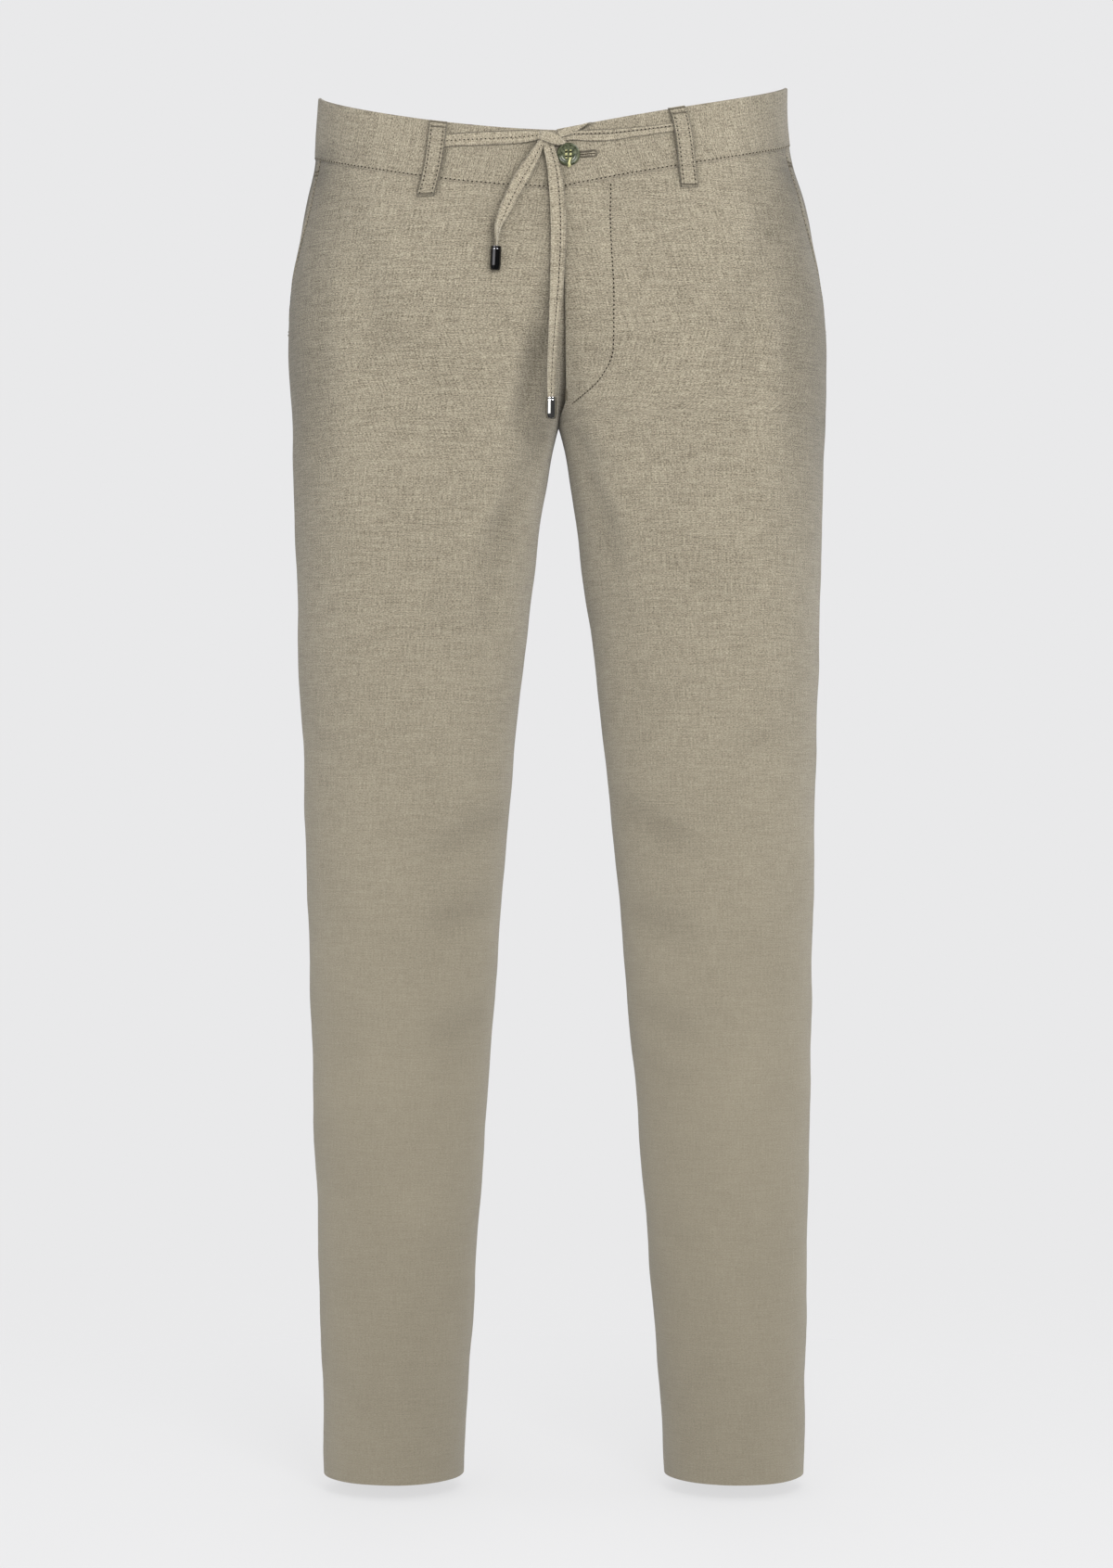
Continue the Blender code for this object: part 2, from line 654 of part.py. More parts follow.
def make_knot():
    """A rounded body with a ridge wound round it on the slant."""
    rows, around = 11, 18
    place = front_point(KNOT_CENTRE[0], KNOT_CENTRE[1], KNOT_OUT)
    points, faces = [], []
    cos, sin = math.cos(KNOT_SLANT), math.sin(KNOT_SLANT)
    for r in range(rows + 1):
        polar = math.pi * r / rows
        for c in range(around if 0 < r < rows else 1):
            turn = 2 * math.pi * c / around
            wrap = 1 + 0.10 * math.cos(3 * polar) * math.sin(polar)
            x = KNOT_HALF[0] * math.cos(polar)
            y = KNOT_HALF[1] * math.sin(polar) * math.cos(turn) * wrap
            z = KNOT_HALF[2] * math.sin(polar) * math.sin(turn) * wrap
            points.append(place + np.array((x * cos - z * sin, y, x * sin + z * cos)))
    ring = [[0] * around]
    ring += [[1 + around * r + c for c in range(around)] for r in range(rows - 1)]
    ring += [[len(points) - 1] * around]
    for r in range(rows):
        for c in range(around):
            n = (c + 1) % around
            face = (ring[r][c], ring[r + 1][c], ring[r + 1][n], ring[r][n])
            faces.append(tuple(dict.fromkeys(face)))
    return add_object("drawstring_knot", points, faces)


def make_tip(name, path, length):
    """A closed metal sleeve that carries on from the cord's end."""
    ahead = path[-1] - path[-3]
    ahead /= np.linalg.norm(ahead)
    sideways = np.cross(ahead, (0, 1.0, 0))
    sideways /= np.linalg.norm(sideways)
    other = np.cross(ahead, sideways)
    start = path[-1] + ahead * GAP
    profile = (
        (0, TIP_RADIUS - TIP_BEVEL),
        (TIP_BEVEL, TIP_RADIUS),
        (length - TIP_BEVEL, TIP_RADIUS),
        (length, TIP_RADIUS - TIP_BEVEL),
    )
    around = 16
    points, faces = [], []
    for far, radius in profile:
        for c in range(around):
            turn = 2 * math.pi * c / around
            points.append(
                start + ahead * far + (sideways * math.cos(turn) + other * math.sin(turn)) * radius
            )
    for r in range(len(profile) - 1):
        for c in range(around):
            n = (c + 1) % around
            faces.append((r * around + c, r * around + n, (r + 1) * around + n, (r + 1) * around + c))
    last = (len(profile) - 1) * around
    faces += [tuple(range(around))[::-1], tuple(range(last, last + around))]
    return add_object(name, points, faces, "metal")


def make_button():
    """A turned disc with a raised rim and four holes, its face along the cloth's normal."""
    reach = BUTTON_RADIUS * 0.8
    left, right, low, high = (
        front_point(BUTTON_X + dx, BUTTON_Z + dz, WAISTBAND_PROUD)
        for dx, dz in ((-reach, 0), (reach, 0), (0, -reach), (0, reach))
    )
    face = np.cross(right - left, high - low)
    face /= np.linalg.norm(face)
    seat = front_point(BUTTON_X, BUTTON_Z, WAISTBAND_PROUD) + face * BUTTON_SEAT
    profile = (
        (BUTTON_RADIUS - 2 * MM, 0),
        (BUTTON_RADIUS, 1.1 * MM),
        (BUTTON_RADIUS, BUTTON_HEIGHT - 0.6 * MM),
        (BUTTON_RADIUS - 0.6 * MM, BUTTON_HEIGHT),
        (BUTTON_RADIUS - BUTTON_RIM, BUTTON_HEIGHT),
        (BUTTON_RADIUS - BUTTON_RIM - 0.8 * MM, BUTTON_HEIGHT - BUTTON_DISH),
    )
    around = 32
    points = [
        (r * math.cos(2 * math.pi * c / around), r * math.sin(2 * math.pi * c / around), h)
        for r, h in profile
        for c in range(around)
    ]
    faces = [tuple(range(around))[::-1]]
    for r in range(len(profile) - 1):
        for c in range(around):
            n = (c + 1) % around
            faces.append((r * around + c, r * around + n, (r + 1) * around + n, (r + 1) * around + c))
    last = (len(profile) - 1) * around
    faces.append(tuple(range(last, last + around)))
    button = add_object("button", points, faces, "button")
    for i in range(4):
        turn = math.pi / 4 + i * math.pi / 2
        bpy.ops.mesh.primitive_cylinder_add(
            vertices=10,
            radius=BUTTON_HOLE_RADIUS,
            depth=4 * BUTTON_HEIGHT,
            location=(
                BUTTON_HOLE_PITCH / 2 * math.sqrt(2) * math.cos(turn),
                BUTTON_HOLE_PITCH / 2 * math.sqrt(2) * math.sin(turn),
                0,
            ),
        )
        cutter = bpy.context.object
        cutter.name = f"button_hole_{i}"
        cutter.hide_render = True
        cutter.display_type = "WIRE"
        cutter.parent = button
        cut = button.modifiers.new(f"hole {i}", "BOOLEAN")
        cut.operation = "DIFFERENCE"
        cut.object = cutter
    button.rotation_mode = "QUATERNION"
    button.rotation_quaternion = Vector(face).to_track_quat("Z", "Y")
    button.location = tuple(seat)
    return button


def main():
    clear_scene()
    for side, hand in ((-1, "right"), (1, "left")):
        front_columns, count = (front_left_columns, 13) if side > 0 else (front_right_columns, 19)
        make_panel(f"front_{hand}", side, front_columns, count, panel_sink)
        make_panel(f"back_{hand}", side, back_columns, 14, no_sink)
        make_facing(f"pocket_facing_{hand}", side)
        make_waistband(f"waistband_{hand}", side, 32 if side > 0 else 39)
    for row in LOOP_ROWS:
        make_loop(row)
    make_cord("drawstring_right_band", 22)
    make_cord("drawstring_left_band", 24)
    make_knot()
    make_tuck()
    long_path = make_cord("drawstring_long_end", 28)
    short_path = make_cord("drawstring_short_end", 22)
    make_tip("tip_long", long_path, LONG_TIP_LENGTH)
    make_tip("tip_short", short_path, SHORT_TIP_LENGTH)
    make_button()


main()
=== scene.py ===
"""The looks of a pair of chinos with a drawstring waist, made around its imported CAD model.

Metres, +Z up. The front faces -Y and +X is the wearer's left. The origin is the centre of the waist
opening. A place on the cloth is (side, angle, height): side is +1 for the wearer's left and -1 for
the right, and angle is 0 at the outermost line, +90 degrees at the front and -90 at the back.
"""

import math

import bpy
import numpy as np
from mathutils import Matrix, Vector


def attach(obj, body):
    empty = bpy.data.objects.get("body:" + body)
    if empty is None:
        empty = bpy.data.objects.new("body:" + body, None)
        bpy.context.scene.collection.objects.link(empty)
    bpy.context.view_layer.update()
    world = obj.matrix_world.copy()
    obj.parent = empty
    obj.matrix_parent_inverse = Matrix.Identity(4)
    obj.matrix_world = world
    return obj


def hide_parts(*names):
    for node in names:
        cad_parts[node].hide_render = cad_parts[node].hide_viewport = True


bl_info = {
    "name": "Drawstring chinos",
    "version": (1, 0, 0),
    "blender": (4, 5, 0),
    "location": "View3D > Sidebar > Chinos",
    "description": "Dresses the packed chinos in woven cloth, stitching, cord and metal",
    "category": "Object",
}

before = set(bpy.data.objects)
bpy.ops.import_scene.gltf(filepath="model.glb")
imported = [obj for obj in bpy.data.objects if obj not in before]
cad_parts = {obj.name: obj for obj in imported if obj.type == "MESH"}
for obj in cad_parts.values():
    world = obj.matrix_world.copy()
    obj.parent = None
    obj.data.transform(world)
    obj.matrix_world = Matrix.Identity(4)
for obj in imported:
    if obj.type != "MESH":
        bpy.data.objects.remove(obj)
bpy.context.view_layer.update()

MM = 0.001
BODY = "root"

# ------------------------------------------------------------------ sizes shared with the solids

GAP = 0.1 * MM
PANEL_WALL = 1.4 * MM
WAISTBAND_WALL = 2.4 * MM
WAISTBAND_PROUD = 0.6 * MM
WAISTBAND_HEIGHT = 42 * MM
LOOP_WALL = 1.5 * MM

SIDE_TOP = 20.9 * MM
FRONT_DROP = 45.4 * MM
BACK_DROP = 10.5 * MM
WAIST_TILT = 0.0217
RIGHT_SAG = 5.0 * MM

FLAP_EDGE = 6.4 * MM
WAIST_FLAP_EDGE = 3 * MM
FLAP_SINK = 2.2 * MM
WAIST_FLAP_SINK = 3.0 * MM
FLY_FOOT, FLY_OPEN = -233 * MM, -213 * MM
SINK_FOOT, SINK_FULL = -232 * MM, -214 * MM

SIDE_SEAM_ANGLE = math.radians(-7)
MOUTH_LENGTH = 145 * MM
MOUTH_STITCH = 7.4 * MM
# The pocket mouth's edge: (height in mm, angle in degrees). It ends at the side seam.
MOUTH_ROWS = (
    (-166, -7),
    (-150, 0.5),
    (-135, 5.0),
    (-115, 9.9),
    (-96, 13.0),
    (-81, 15.4),
    (-66, 16.7),
    (-50, 16.4),
    (-21, 15.5),
)
FACING_SINK = 1.7 * MM
FACING_LAP = math.radians(6)
HEM = -1020 * MM

# One leg's section at each height, in mm: outermost and innermost x, reach to the front and to the
# back, y of its widest line, and how square it is (2 is an ellipse).
SECTION_COLUMNS = ("z", "outer", "inner", "front", "back", "middle", "square")
SECTION_ROWS = (
    (40, 175.5, -175.5, 98, 103, 0, 2.35),
    (-10, 177.5, -177.5, 100, 107, 0, 2.35),
    (-36, 180.4, -180.4, 103, 112, 0, 2.35),
    (-60, 187.0, -184.0, 105, 118, 0, 2.35),
    (-90, 193.0, -161.0, 107, 125, 0, 2.35),
    (-120, 198.6, -115.0, 108, 129, 0, 2.33),
    (-150, 201.4, -66.0, 108, 130, 0, 2.30),
    (-180, 202.0, -31.0, 107, 128, 0, 2.26),
    (-205, 202.0, -13.5, 106, 124, 0, 2.22),
    (-225, 201.2, -2.4, 105, 120, 0, 2.18),
    (-245, 200.4, 3.6, 103, 115, 0, 2.15),
    (-280, 199.2, 9.6, 100, 106, 0, 2.12),
    (-350, 197.4, 19.2, 92, 93, 0, 2.10),
    (-420, 195.6, 28.0, 84, 84, 1, 2.10),
    (-490, 193.2, 35.4, 75, 76, 2, 2.08),
    (-560, 191.5, 42.0, 68, 69, 3, 2.08),
    (-630, 190.0, 47.6, 63, 65, 4, 2.06),
    (-770, 186.9, 58.8, 58, 60, 6, 2.05),
    (-910, 183.4, 69.0, 55, 57, 7, 2.05),
    (-1020, 181.2, 76.4, 57, 56, 7, 2.05),
)
SECTIONS = {
    name: np.array([row[i] for row in reversed(SECTION_ROWS)]) * (1 if name == "square" else MM)
    for i, name in enumerate(SECTION_COLUMNS)
}

# How far the centre line leans to the wearer's left, in mm: (height, lean).
LEAN_ROWS = (
    (-1020, 5.9),
    (-730, 3.9),
    (-450, 2.1),
    (-330, 1.4),
    (-233, 1.6),
    (-160, 0.4),
    (-100, -0.3),
    (-62, -0.7),
    (-36, -1.9),
    (-10, -3.1),
    (40, -2.1),
)
LEAN_Z, LEAN_X = np.array(LEAN_ROWS).T * MM

# The largest folds, which the solids have too, in mm: from (x0, z0) to (x1, z1), with a half width
# and a rise that is negative for a trough. face is +1 at the front and -1 at the back.
LARGE_FOLDS = (
    (1, -7, -128, -30, -236, 8, -1.8),
    (1, -22, -120, -47, -228, 11, 1.3),
    (1, 12, -216, 58, -282, 9, 1.6),
    (1, 16, -236, 44, -330, 8, -1.5),
    (1, -14, -238, -52, -330, 9, -1.7),
    (1, -150, -70, -120, -190, 16, -1.1),
    (1, 158, -75, 122, -200, 15, -1.2),
    (1, -38, -520, -92, -548, 11, -1.2),
    (1, 44, -512, 100, -545, 11, -1.3),
    (1, -44, -585, -96, -604, 12, -1.1),
    (1, 50, -592, 104, -612, 12, -1.0),
    (1, -52, -668, -94, -690, 13, -0.9),
    (1, 60, -660, 102, -684, 12, -1.0),
    (-1, -18, -246, -132, -226, 10, -2.6),
    (-1, 16, -250, 126, -232, 10, -2.4),
    (-1, -24, -276, -110, -262, 11, -1.6),
    (-1, 26, -282, 116, -264, 11, -1.8),
    (-1, -22, -168, -84, -120, 14, -1.3),
    (-1, 24, -160, 90, -118, 14, -1.2),
    (-1, -48, -560, -158, -548, 10, -1.8),
    (-1, 52, -556, 160, -550, 10, -1.9),
    (-1, -60, -598, -150, -606, 11, -1.5),
    (-1, 58, -604, 156, -598, 11, -1.4),
)
# Finer creases, which only the cloth here has.
FINE_CREASES = (
    (1, 24, -74, 25, -124, 3.2, -0.45),
    (1, 34, -66, 34, -98, 2.6, 0.35),
    (1, 17, -132, 20, -186, 3.4, 0.4),
    (1, 12, -96, 13, -150, 2.8, -0.35),
    (1, 29, -150, 31, -196, 3.6, -0.4),
    (1, -16, -74, -14, -118, 4.5, -0.5),
    (1, -32, -140, -44, -186, 4.2, -0.6),
    (1, -6, -168, -16, -226, 3.6, 0.7),
    (1, -14, -176, -29, -240, 4.2, -1.2),
    (1, 6, -222, 24, -262, 3.8, -0.8),
    (1, -4, -228, -20, -272, 3.6, -0.8),
    (1, 20, -256, 66, -316, 6.0, 0.7),
    (1, -26, -262, -66, -322, 6.5, 0.7),
    (1, 34, -300, 56, -392, 8.0, -0.7),
    (1, -34, -300, -58, -384, 8.0, -0.8),
    (1, -134, -44, -146, -108, 6.0, -0.5),
    (1, 140, -40, 150, -116, 6.5, -0.6),
    (1, 166, -120, 172, -250, 9.0, -0.8),
    (1, -170, -128, -174, -236, 9.0, -0.6),
    (1, -62, -700, -92, -716, 8.0, -0.5),
    (1, 66, -704, 100, -722, 8.0, -0.5),
    (1, 76, -828, 100, -842, 8.0, -0.5),
    (1, -70, -836, -98, -848, 8.5, -0.45),
    (1, 120, -470, 182, -456, 9.0, -0.5),
    (1, -124, -486, -182, -470, 9.5, -0.5),
    (-1, -12, -232, -52, -196, 4.5, -0.8),
    (-1, 12, -228, 56, -200, 4.5, -0.7),
    (-1, -34, -300, -92, -292, 6.0, -0.8),
    (-1, 30, -304, 104, -290, 6.5, -0.9),
    (-1, -92, -252, -150, -236, 5.5, -0.6),
    (-1, 88, -258, 156, -238, 5.5, -0.7),
    (-1, -66, -534, -140, -530, 6.5, -0.8),
    (-1, 72, -532, 148, -524, 6.0, -0.8),
    (-1, -70, -632, -136, -646, 7.0, -0.7),
    (-1, 68, -628, 140, -640, 7.5, -0.8),
    (-1, -88, -700, -120, -704, 8.0, -0.5),
    (-1, 84, -706, 126, -700, 8.0, -0.5),
    (-1, -30, -60, -44, -120, 6.0, -0.4),
    (-1, 34, -64, 40, -118, 6.0, -0.4),
)
FOLD_COLUMNS = ("face", "x0", "z0", "x1", "z1", "half", "rise")

# Low waves all over the cloth: length and height in mm, direction, phase.
WAVES = (
    (47, 0.20, (0.9, 0.3, 0.35), 0.4),
    (68, 0.26, (0.35, 0.5, 0.9), 2.1),
    (31, 0.10, (0.8, -0.5, 0.5), 4.0),
    (83, 0.30, (-0.7, 0.4, 0.75), 1.2),
    (24, 0.07, (0.3, 0.8, -0.8), 3.3),
    (38, 0.12, (-0.9, 0.2, 0.3), 5.2),
)

LOOP_COLUMNS = ("name", "side", "top_angle", "top_drop", "end_angle", "end_drop", "bow")
LOOP_ROWS = (
    ("belt_loop_front_right", -1, 63.4, 0.4, 62.3, 56.2, 0.0),
    ("belt_loop_front_left", 1, 60.8, -0.3, 60.8, 58.8, -3.1),
    ("belt_loop_back_right", -1, -46.0, 0.8, -46.6, 56.5, 0.0),
    ("belt_loop_back_left", 1, -46.4, 0.8, -46.0, 56.5, 0.0),
    ("belt_loop_centre_back", 1, -90.0, 0.8, -90.0, 56.5, 0.0),
)
LOOPS = [dict(zip(LOOP_COLUMNS, row)) for row in LOOP_ROWS]
LOOP_WIDTH = 12.5 * MM
LOOP_ARCH = 3.6 * MM
LOOP_SEAT = 0.3 * MM
LOOP_STITCH = 4.3 * MM

CORD_THICKNESS = 1.8 * MM
CORD_COLUMNS = ("x", "z", "out", "width", "turn")
CORD_ROUTES = {
    "drawstring_right_band": (
        (-93.0, -33.6, 2.0, 9.4, 0),
        (-82.0, -31.9, 2.0, 9.6, 0),
        (-60.0, -31.2, 2.0, 10.2, 0),
        (-38.5, -30.6, 2.2, 10.2, 0),
        (-24.0, -30.1, 2.8, 9.4, 0),
        (-12.6, -29.6, 5.0, 6.4, 0),
    ),
    "drawstring_left_band": (
        (6.6, -31.4, 4.8, 4.4, 0),
        (12.4, -29.6, 3.4, 6.4, 0),
        (27.0, -29.2, 2.2, 8.8, 0),
        (40.0, -28.4, 2.0, 8.4, 0),
        (56.0, -26.2, 2.0, 7.2, 0),
        (72.5, -23.6, 2.0, 6.4, 0),
        (86.0, -21.2, 2.0, 6.2, 0),
        (95.5, -19.4, 2.0, 6.2, 0),
    ),
    "drawstring_long_end": (
        (-4.9, -34.4, 5.4, 6.6, 0),
        (-5.6, -38.0, 6.6, 7.8, 0),
        (-3.6, -46.0, 7.2, 8.6, 0),
        (-1.2, -58.0, 6.8, 10.2, 0),
        (1.0, -82.0, 6.2, 11.2, 4),
        (1.4, -105.0, 6.2, 11.2, 8),
        (0.2, -139.0, 6.8, 10.8, 24),
        (-1.9, -172.0, 9.0, 10.6, 46),
        (-3.4, -199.0, 9.0, 10.4, 54),
        (-3.8, -220.2, 9.0, 6.4, 40),
    ),
    "drawstring_short_end": (
        (-8.6, -31.6, 4.4, 4.6, -38),
        (-11.0, -35.4, 5.8, 5.4, -38),
        (-18.6, -49.5, 7.4, 9.6, -28),
        (-27.6, -65.0, 8.4, 10.4, -18),
        (-37.0, -84.0, 8.6, 9.4, -30),
        (-42.2, -96.0, 7.6, 9.0, -62),
        (-43.3, -106.0, 6.9, 7.0, -78),
        (-43.6, -111.0, 6.6, 5.0, -78),
    ),
}
LONG_HANG = -114 * MM
# The strand that is tucked in. Its rise is counted up the band from the top edge, over it and down
# the inside, and its lift is the distance from the cloth.
TUCK_COLUMNS = ("x", "rise", "lift", "width")
TUCK_ROUTE = (
    (1.0, -6.0, 6.8, 5.4),
    (5.0, -4.9, 5.6, 6.4),
    (9.4, -3.4, 3.6, 7.2),
    (13.4, -1.8, 1.9, 7.6),
    (17.0, 0.0, 1.3, 8.0),
    (20.5, 2.1, 1.2, 8.2),
    (24.5, 5.6, 1.2, 8.6),
    (27.4, 10.0, 1.2, 9.0),
    (29.0, 16.0, 1.2, 9.4),
    (30.0, 23.0, 1.2, 9.6),
)
TIP_RADIUS = 3.9 * MM
LONG_TIP_LENGTH, SHORT_TIP_LENGTH = 15.5 * MM, 17.5 * MM
BUTTON_X, BUTTON_Z = 8.6 * MM, -43.4 * MM
BUTTON_RADIUS, BUTTON_SEAT = 8.5 * MM, 0.4 * MM
BUTTON_HOLE_X, BUTTON_HOLE_Y = 1.6 * MM, 1.75 * MM
SEAM_TUCK, SEAM_LAP = 0.9 * MM, 0.5 * MM
# How far down the panels' rows follow the waistband's seam.
SEAM_PULL = 168 * MM
# Rounds in which the rows and the columns of a grid, which depend on each other, settle.
PANEL_ROUNDS, BAND_ROUNDS = 12, 10
BAND_STITCH = 1.5 * MM
HEM_TURN = 31 * MM
FLOOR = -1.032
CAMERA_HEIGHT = -0.5

# ------------------------------------------------------------------ the cloth's surface


def smooth_read(at, places, values):
    """A smooth curve through (places, values), with places rising, read at each of "at"."""
    slopes = np.gradient(values, places)
    at = np.clip(at, places[0], places[-1])
    i = np.clip(np.searchsorted(places, at) - 1, 0, len(places) - 2)
    span = places[i + 1] - places[i]
    t = (at - places[i]) / span
    return (
        values[i] * (1 + 2 * t) * (1 - t) ** 2
        + values[i + 1] * t**2 * (3 - 2 * t)
        + slopes[i] * span * t * (1 - t) ** 2
        - slopes[i + 1] * span * t**2 * (1 - t)
    )


def spread(rows, columns, steps):
    """The columns of a route, read along a smooth curve through its rows."""
    table = np.array(rows, float)
    here = np.arange(len(rows))
    at = np.linspace(0, len(rows) - 1, steps)
    return {name: smooth_read(at, here, table[:, i]) for i, name in enumerate(columns)}


def smoothstep(value, start, end):
    """0 before start, 1 after end, and an even S curve between."""
    t = np.clip((value - start) / (end - start), 0, 1)
    return t * t * (3 - 2 * t)


def bell(value, half):
    """1 in the middle, falling off on both sides: e to the minus square of value over half."""
    return np.exp(-((value / half) ** 2))


def unit(vectors):
    """Vectors of the same direction, one long."""
    return vectors / np.maximum(np.linalg.norm(vectors, axis=-1, keepdims=True), 1e-12)


def section(z, column):
    """One measure of a leg's section at this height, as a smooth curve through its rows."""
    return smooth_read(z, SECTIONS["z"], SECTIONS[column])


def lean(z):
    """x of the garment's centre line at this height."""
    return smooth_read(z, LEAN_Z, LEAN_X)


def centre_and_half_width(z):
    """Middle and half the width of a leg's section, from its outermost and innermost x."""
    outer, inner = section(z, "outer"), section(z, "inner")
    return (outer + inner) / 2, (outer - inner) / 2


def bare_point(side, angle, z):
    """A leg's section is a superellipse: its reach in a direction is the sum of |cos| and |sin|, each
    to the power "square", to the power -1 / square. Above the crotch both legs' sections overlap."""
    cos, sin = np.cos(angle), np.sin(angle)
    square = section(z, "square")
    reach = (np.abs(cos) ** square + np.abs(sin) ** square) ** (-1 / square)
    centre, half = centre_and_half_width(z)
    depth = np.where(sin > 0, section(z, "front"), section(z, "back"))
    x = lean(z) + side * (centre + half * reach * cos)
    y = section(z, "middle") - depth * reach * sin
    return np.stack(np.broadcast_arrays(x, y, z), axis=-1)


def outward(side, angle, z):
    """The level direction out of the cloth: the section's tangent, turned by a right angle."""
    step = 1e-4
    along = bare_point(side, angle + step, z) - bare_point(side, angle - step, z)
    turned = np.stack([-along[..., 1], along[..., 0], 0 * along[..., 0]], axis=-1)
    return np.asarray(side)[..., None] * unit(turned)


def fold_height(points, facing):
    """The sum of all folds: each is a bell across its line, faded in and out along it."""
    total = np.zeros(points.shape[:-1])
    strength = bpy.context.scene.chinos_cloth.crease
    for number, row in enumerate(LARGE_FOLDS + FINE_CREASES):
        fold = dict(zip(FOLD_COLUMNS, row))
        start = np.array((fold["x0"], fold["z0"])) * MM
        run = np.array((fold["x1"], fold["z1"])) * MM - start
        length = np.linalg.norm(run)
        offset = points[..., (0, 2)] - start
        along = offset @ run / length**2
        across = (offset[..., 0] * run[1] - offset[..., 1] * run[0]) / length
        fade = smoothstep(along, -0.25, 0.3) * (1 - smoothstep(along, 0.7, 1.25))
        shown = smoothstep(facing * fold["face"], 0.15, 0.55)
        share = strength if number >= len(LARGE_FOLDS) else 1
        total += share * fold["rise"] * MM * shown * fade * bell(across, fold["half"] * MM)
    return total


def wave_height(points):
    """The sum of sines that run through space in several directions, weaker on the stiff waistband."""
    total = np.zeros(points.shape[:-1])
    for length, height, direction, phase in WAVES:
        along = points @ unit(np.array(direction))
        bend = 0.6 * np.sin(along / (length * MM) * 1.9 + phase)
        total += height * MM * np.sin(2 * math.pi * along / (length * MM) + phase + bend)
    return total * (0.25 + 0.75 * (1 - smoothstep(points[..., 2], -95 * MM, -50 * MM)))


def surface(side, angle, z, out=0.0):
    """The creased cloth's point, moved out along the level normal. Where the two legs' sections meet
    at the crotch, facing each other, creases die away so that the seam stays closed."""
    points = bare_point(side, angle, z)
    level = outward(side, angle, z)
    apart = smoothstep(np.abs(points[..., 0] - lean(points[..., 2])), 1 * MM, 16 * MM)
    open_air = np.maximum(apart, smoothstep(np.abs(level[..., 1]), 0.35, 0.8))
    lift = (fold_height(points, np.sin(angle) + 0 * z) + wave_height(points)) * open_air + out
    return points + level * lift[..., None]


def angle_at(side, x, z, face=1):
    """The angle where the front (or back) surface has this x: the section's formula, solved."""
    centre, half = centre_and_half_width(z)
    square = section(z, "square")
    across = np.clip((side * (x - lean(z)) - centre) / half, -1, 1)
    deep = (1 - np.abs(across) ** square) ** (1 / square)
    return face * np.arctan2(deep, across)


def turn_of(side, angle, z, distance):
    """The change of angle that moves a point by this distance round the section."""
    step = 1e-3
    run = np.linalg.norm(bare_point(side, angle + step, z) - bare_point(side, angle - step, z), axis=-1)
    return distance * 2 * step / run


def front_place(x, z):
    """(side, angle) of the front surface's point at this x and z."""
    side = np.where(x >= lean(z), 1, -1)
    return side, angle_at(side, x, z)


def front_point(x, z, out):
    """The front surface's point at this x and z, moved out."""
    side, angle = front_place(x, z)
    return surface(side, angle, z, out)


def cloth_line(side, angle, z, out):
    """Points and normals of a line that lies on the cloth."""
    return surface(side, angle, z, out), outward(side, angle, z)


def front_line(x, z, out):
    """The same, for a line that is given by its x and z in the front view."""
    return cloth_line(*front_place(x, z), z, out)


# ------------------------------------------------------------------ edges of the pieces


def top_edge(side, angle):
    """Height of the waistband's top edge: it drops from the side to the centre, more in front."""
    soft = 0.1
    share = np.clip(np.abs(angle) / (math.pi / 2), 0, 1)
    eased = (np.sqrt(share**2 + soft**2) - soft) / (math.sqrt(1 + soft**2) - soft)
    sag = np.where((angle > 0) & (np.asarray(side) < 0), RIGHT_SAG, 0) * np.sin(math.pi * share**2)
    drop = np.where(angle > 0, FRONT_DROP, BACK_DROP) * eased + sag
    return SIDE_TOP - drop + side * WAIST_TILT * section(0.0, "outer") * np.cos(angle)


def band_height(side, angle):
    """Height of the waistband, which is cut a little deeper in front and deepest at the sides."""
    deeper = (3.0 - 1.1 * side) * bell(angle, math.radians(28)) + 1.3 * smoothstep(angle, -0.5, 0.5)
    return WAISTBAND_HEIGHT + deeper * MM


def mouth_angle(z):
    """The front panel's outer edge: the pocket mouth, and the side seam under it."""
    heights, angles = np.array(MOUTH_ROWS, float).T
    return np.radians(smooth_read(z, heights * MM, angles))


def seam_start(side, z):
    """The front panel's outer edge, half a gap inside the mouth's line."""
    edge = mouth_angle(z)
    return edge + turn_of(side, edge, z, GAP / 2)


def seam_end(side, z):
    """The back panel's outer edge, half a gap behind the side seam's line."""
    edge = SIDE_SEAM_ANGLE + 0 * z
    return edge - turn_of(side, edge, z, GAP / 2)


def inner_edge(side, z, x, face, short=0.0):
    """The angle of a panel's centre seam, at this x above the crotch, and of its inseam below."""
    inseam = math.pi - turn_of(side, math.pi + 0 * z, z, GAP / 2 + short)
    return face * np.minimum(angle_at(side, lean(z) + x, z), inseam)


def fly_opening(z):
    """1 where the fly opens, easing to 0 at its foot."""
    return smoothstep(z, FLY_FOOT, FLY_OPEN)


def front_right_edge(side, z, lapped, seamed):
    """A line of the right front near the centre, counted from the flap's edge where the fly opens
    (lapped) and from the centre seam under it (seamed)."""
    lap = fly_opening(z)
    x = FLAP_EDGE * lap + lapped * lap + seamed * (1 - lap)
    return inner_edge(side, z, x, 1, -seamed - GAP / 2)


def back_centre(side, z):
    """A back piece's edge at the seat seam, half a lap over the centre line."""
    return inner_edge(side, z, -side * SEAM_LAP / 2, -1)


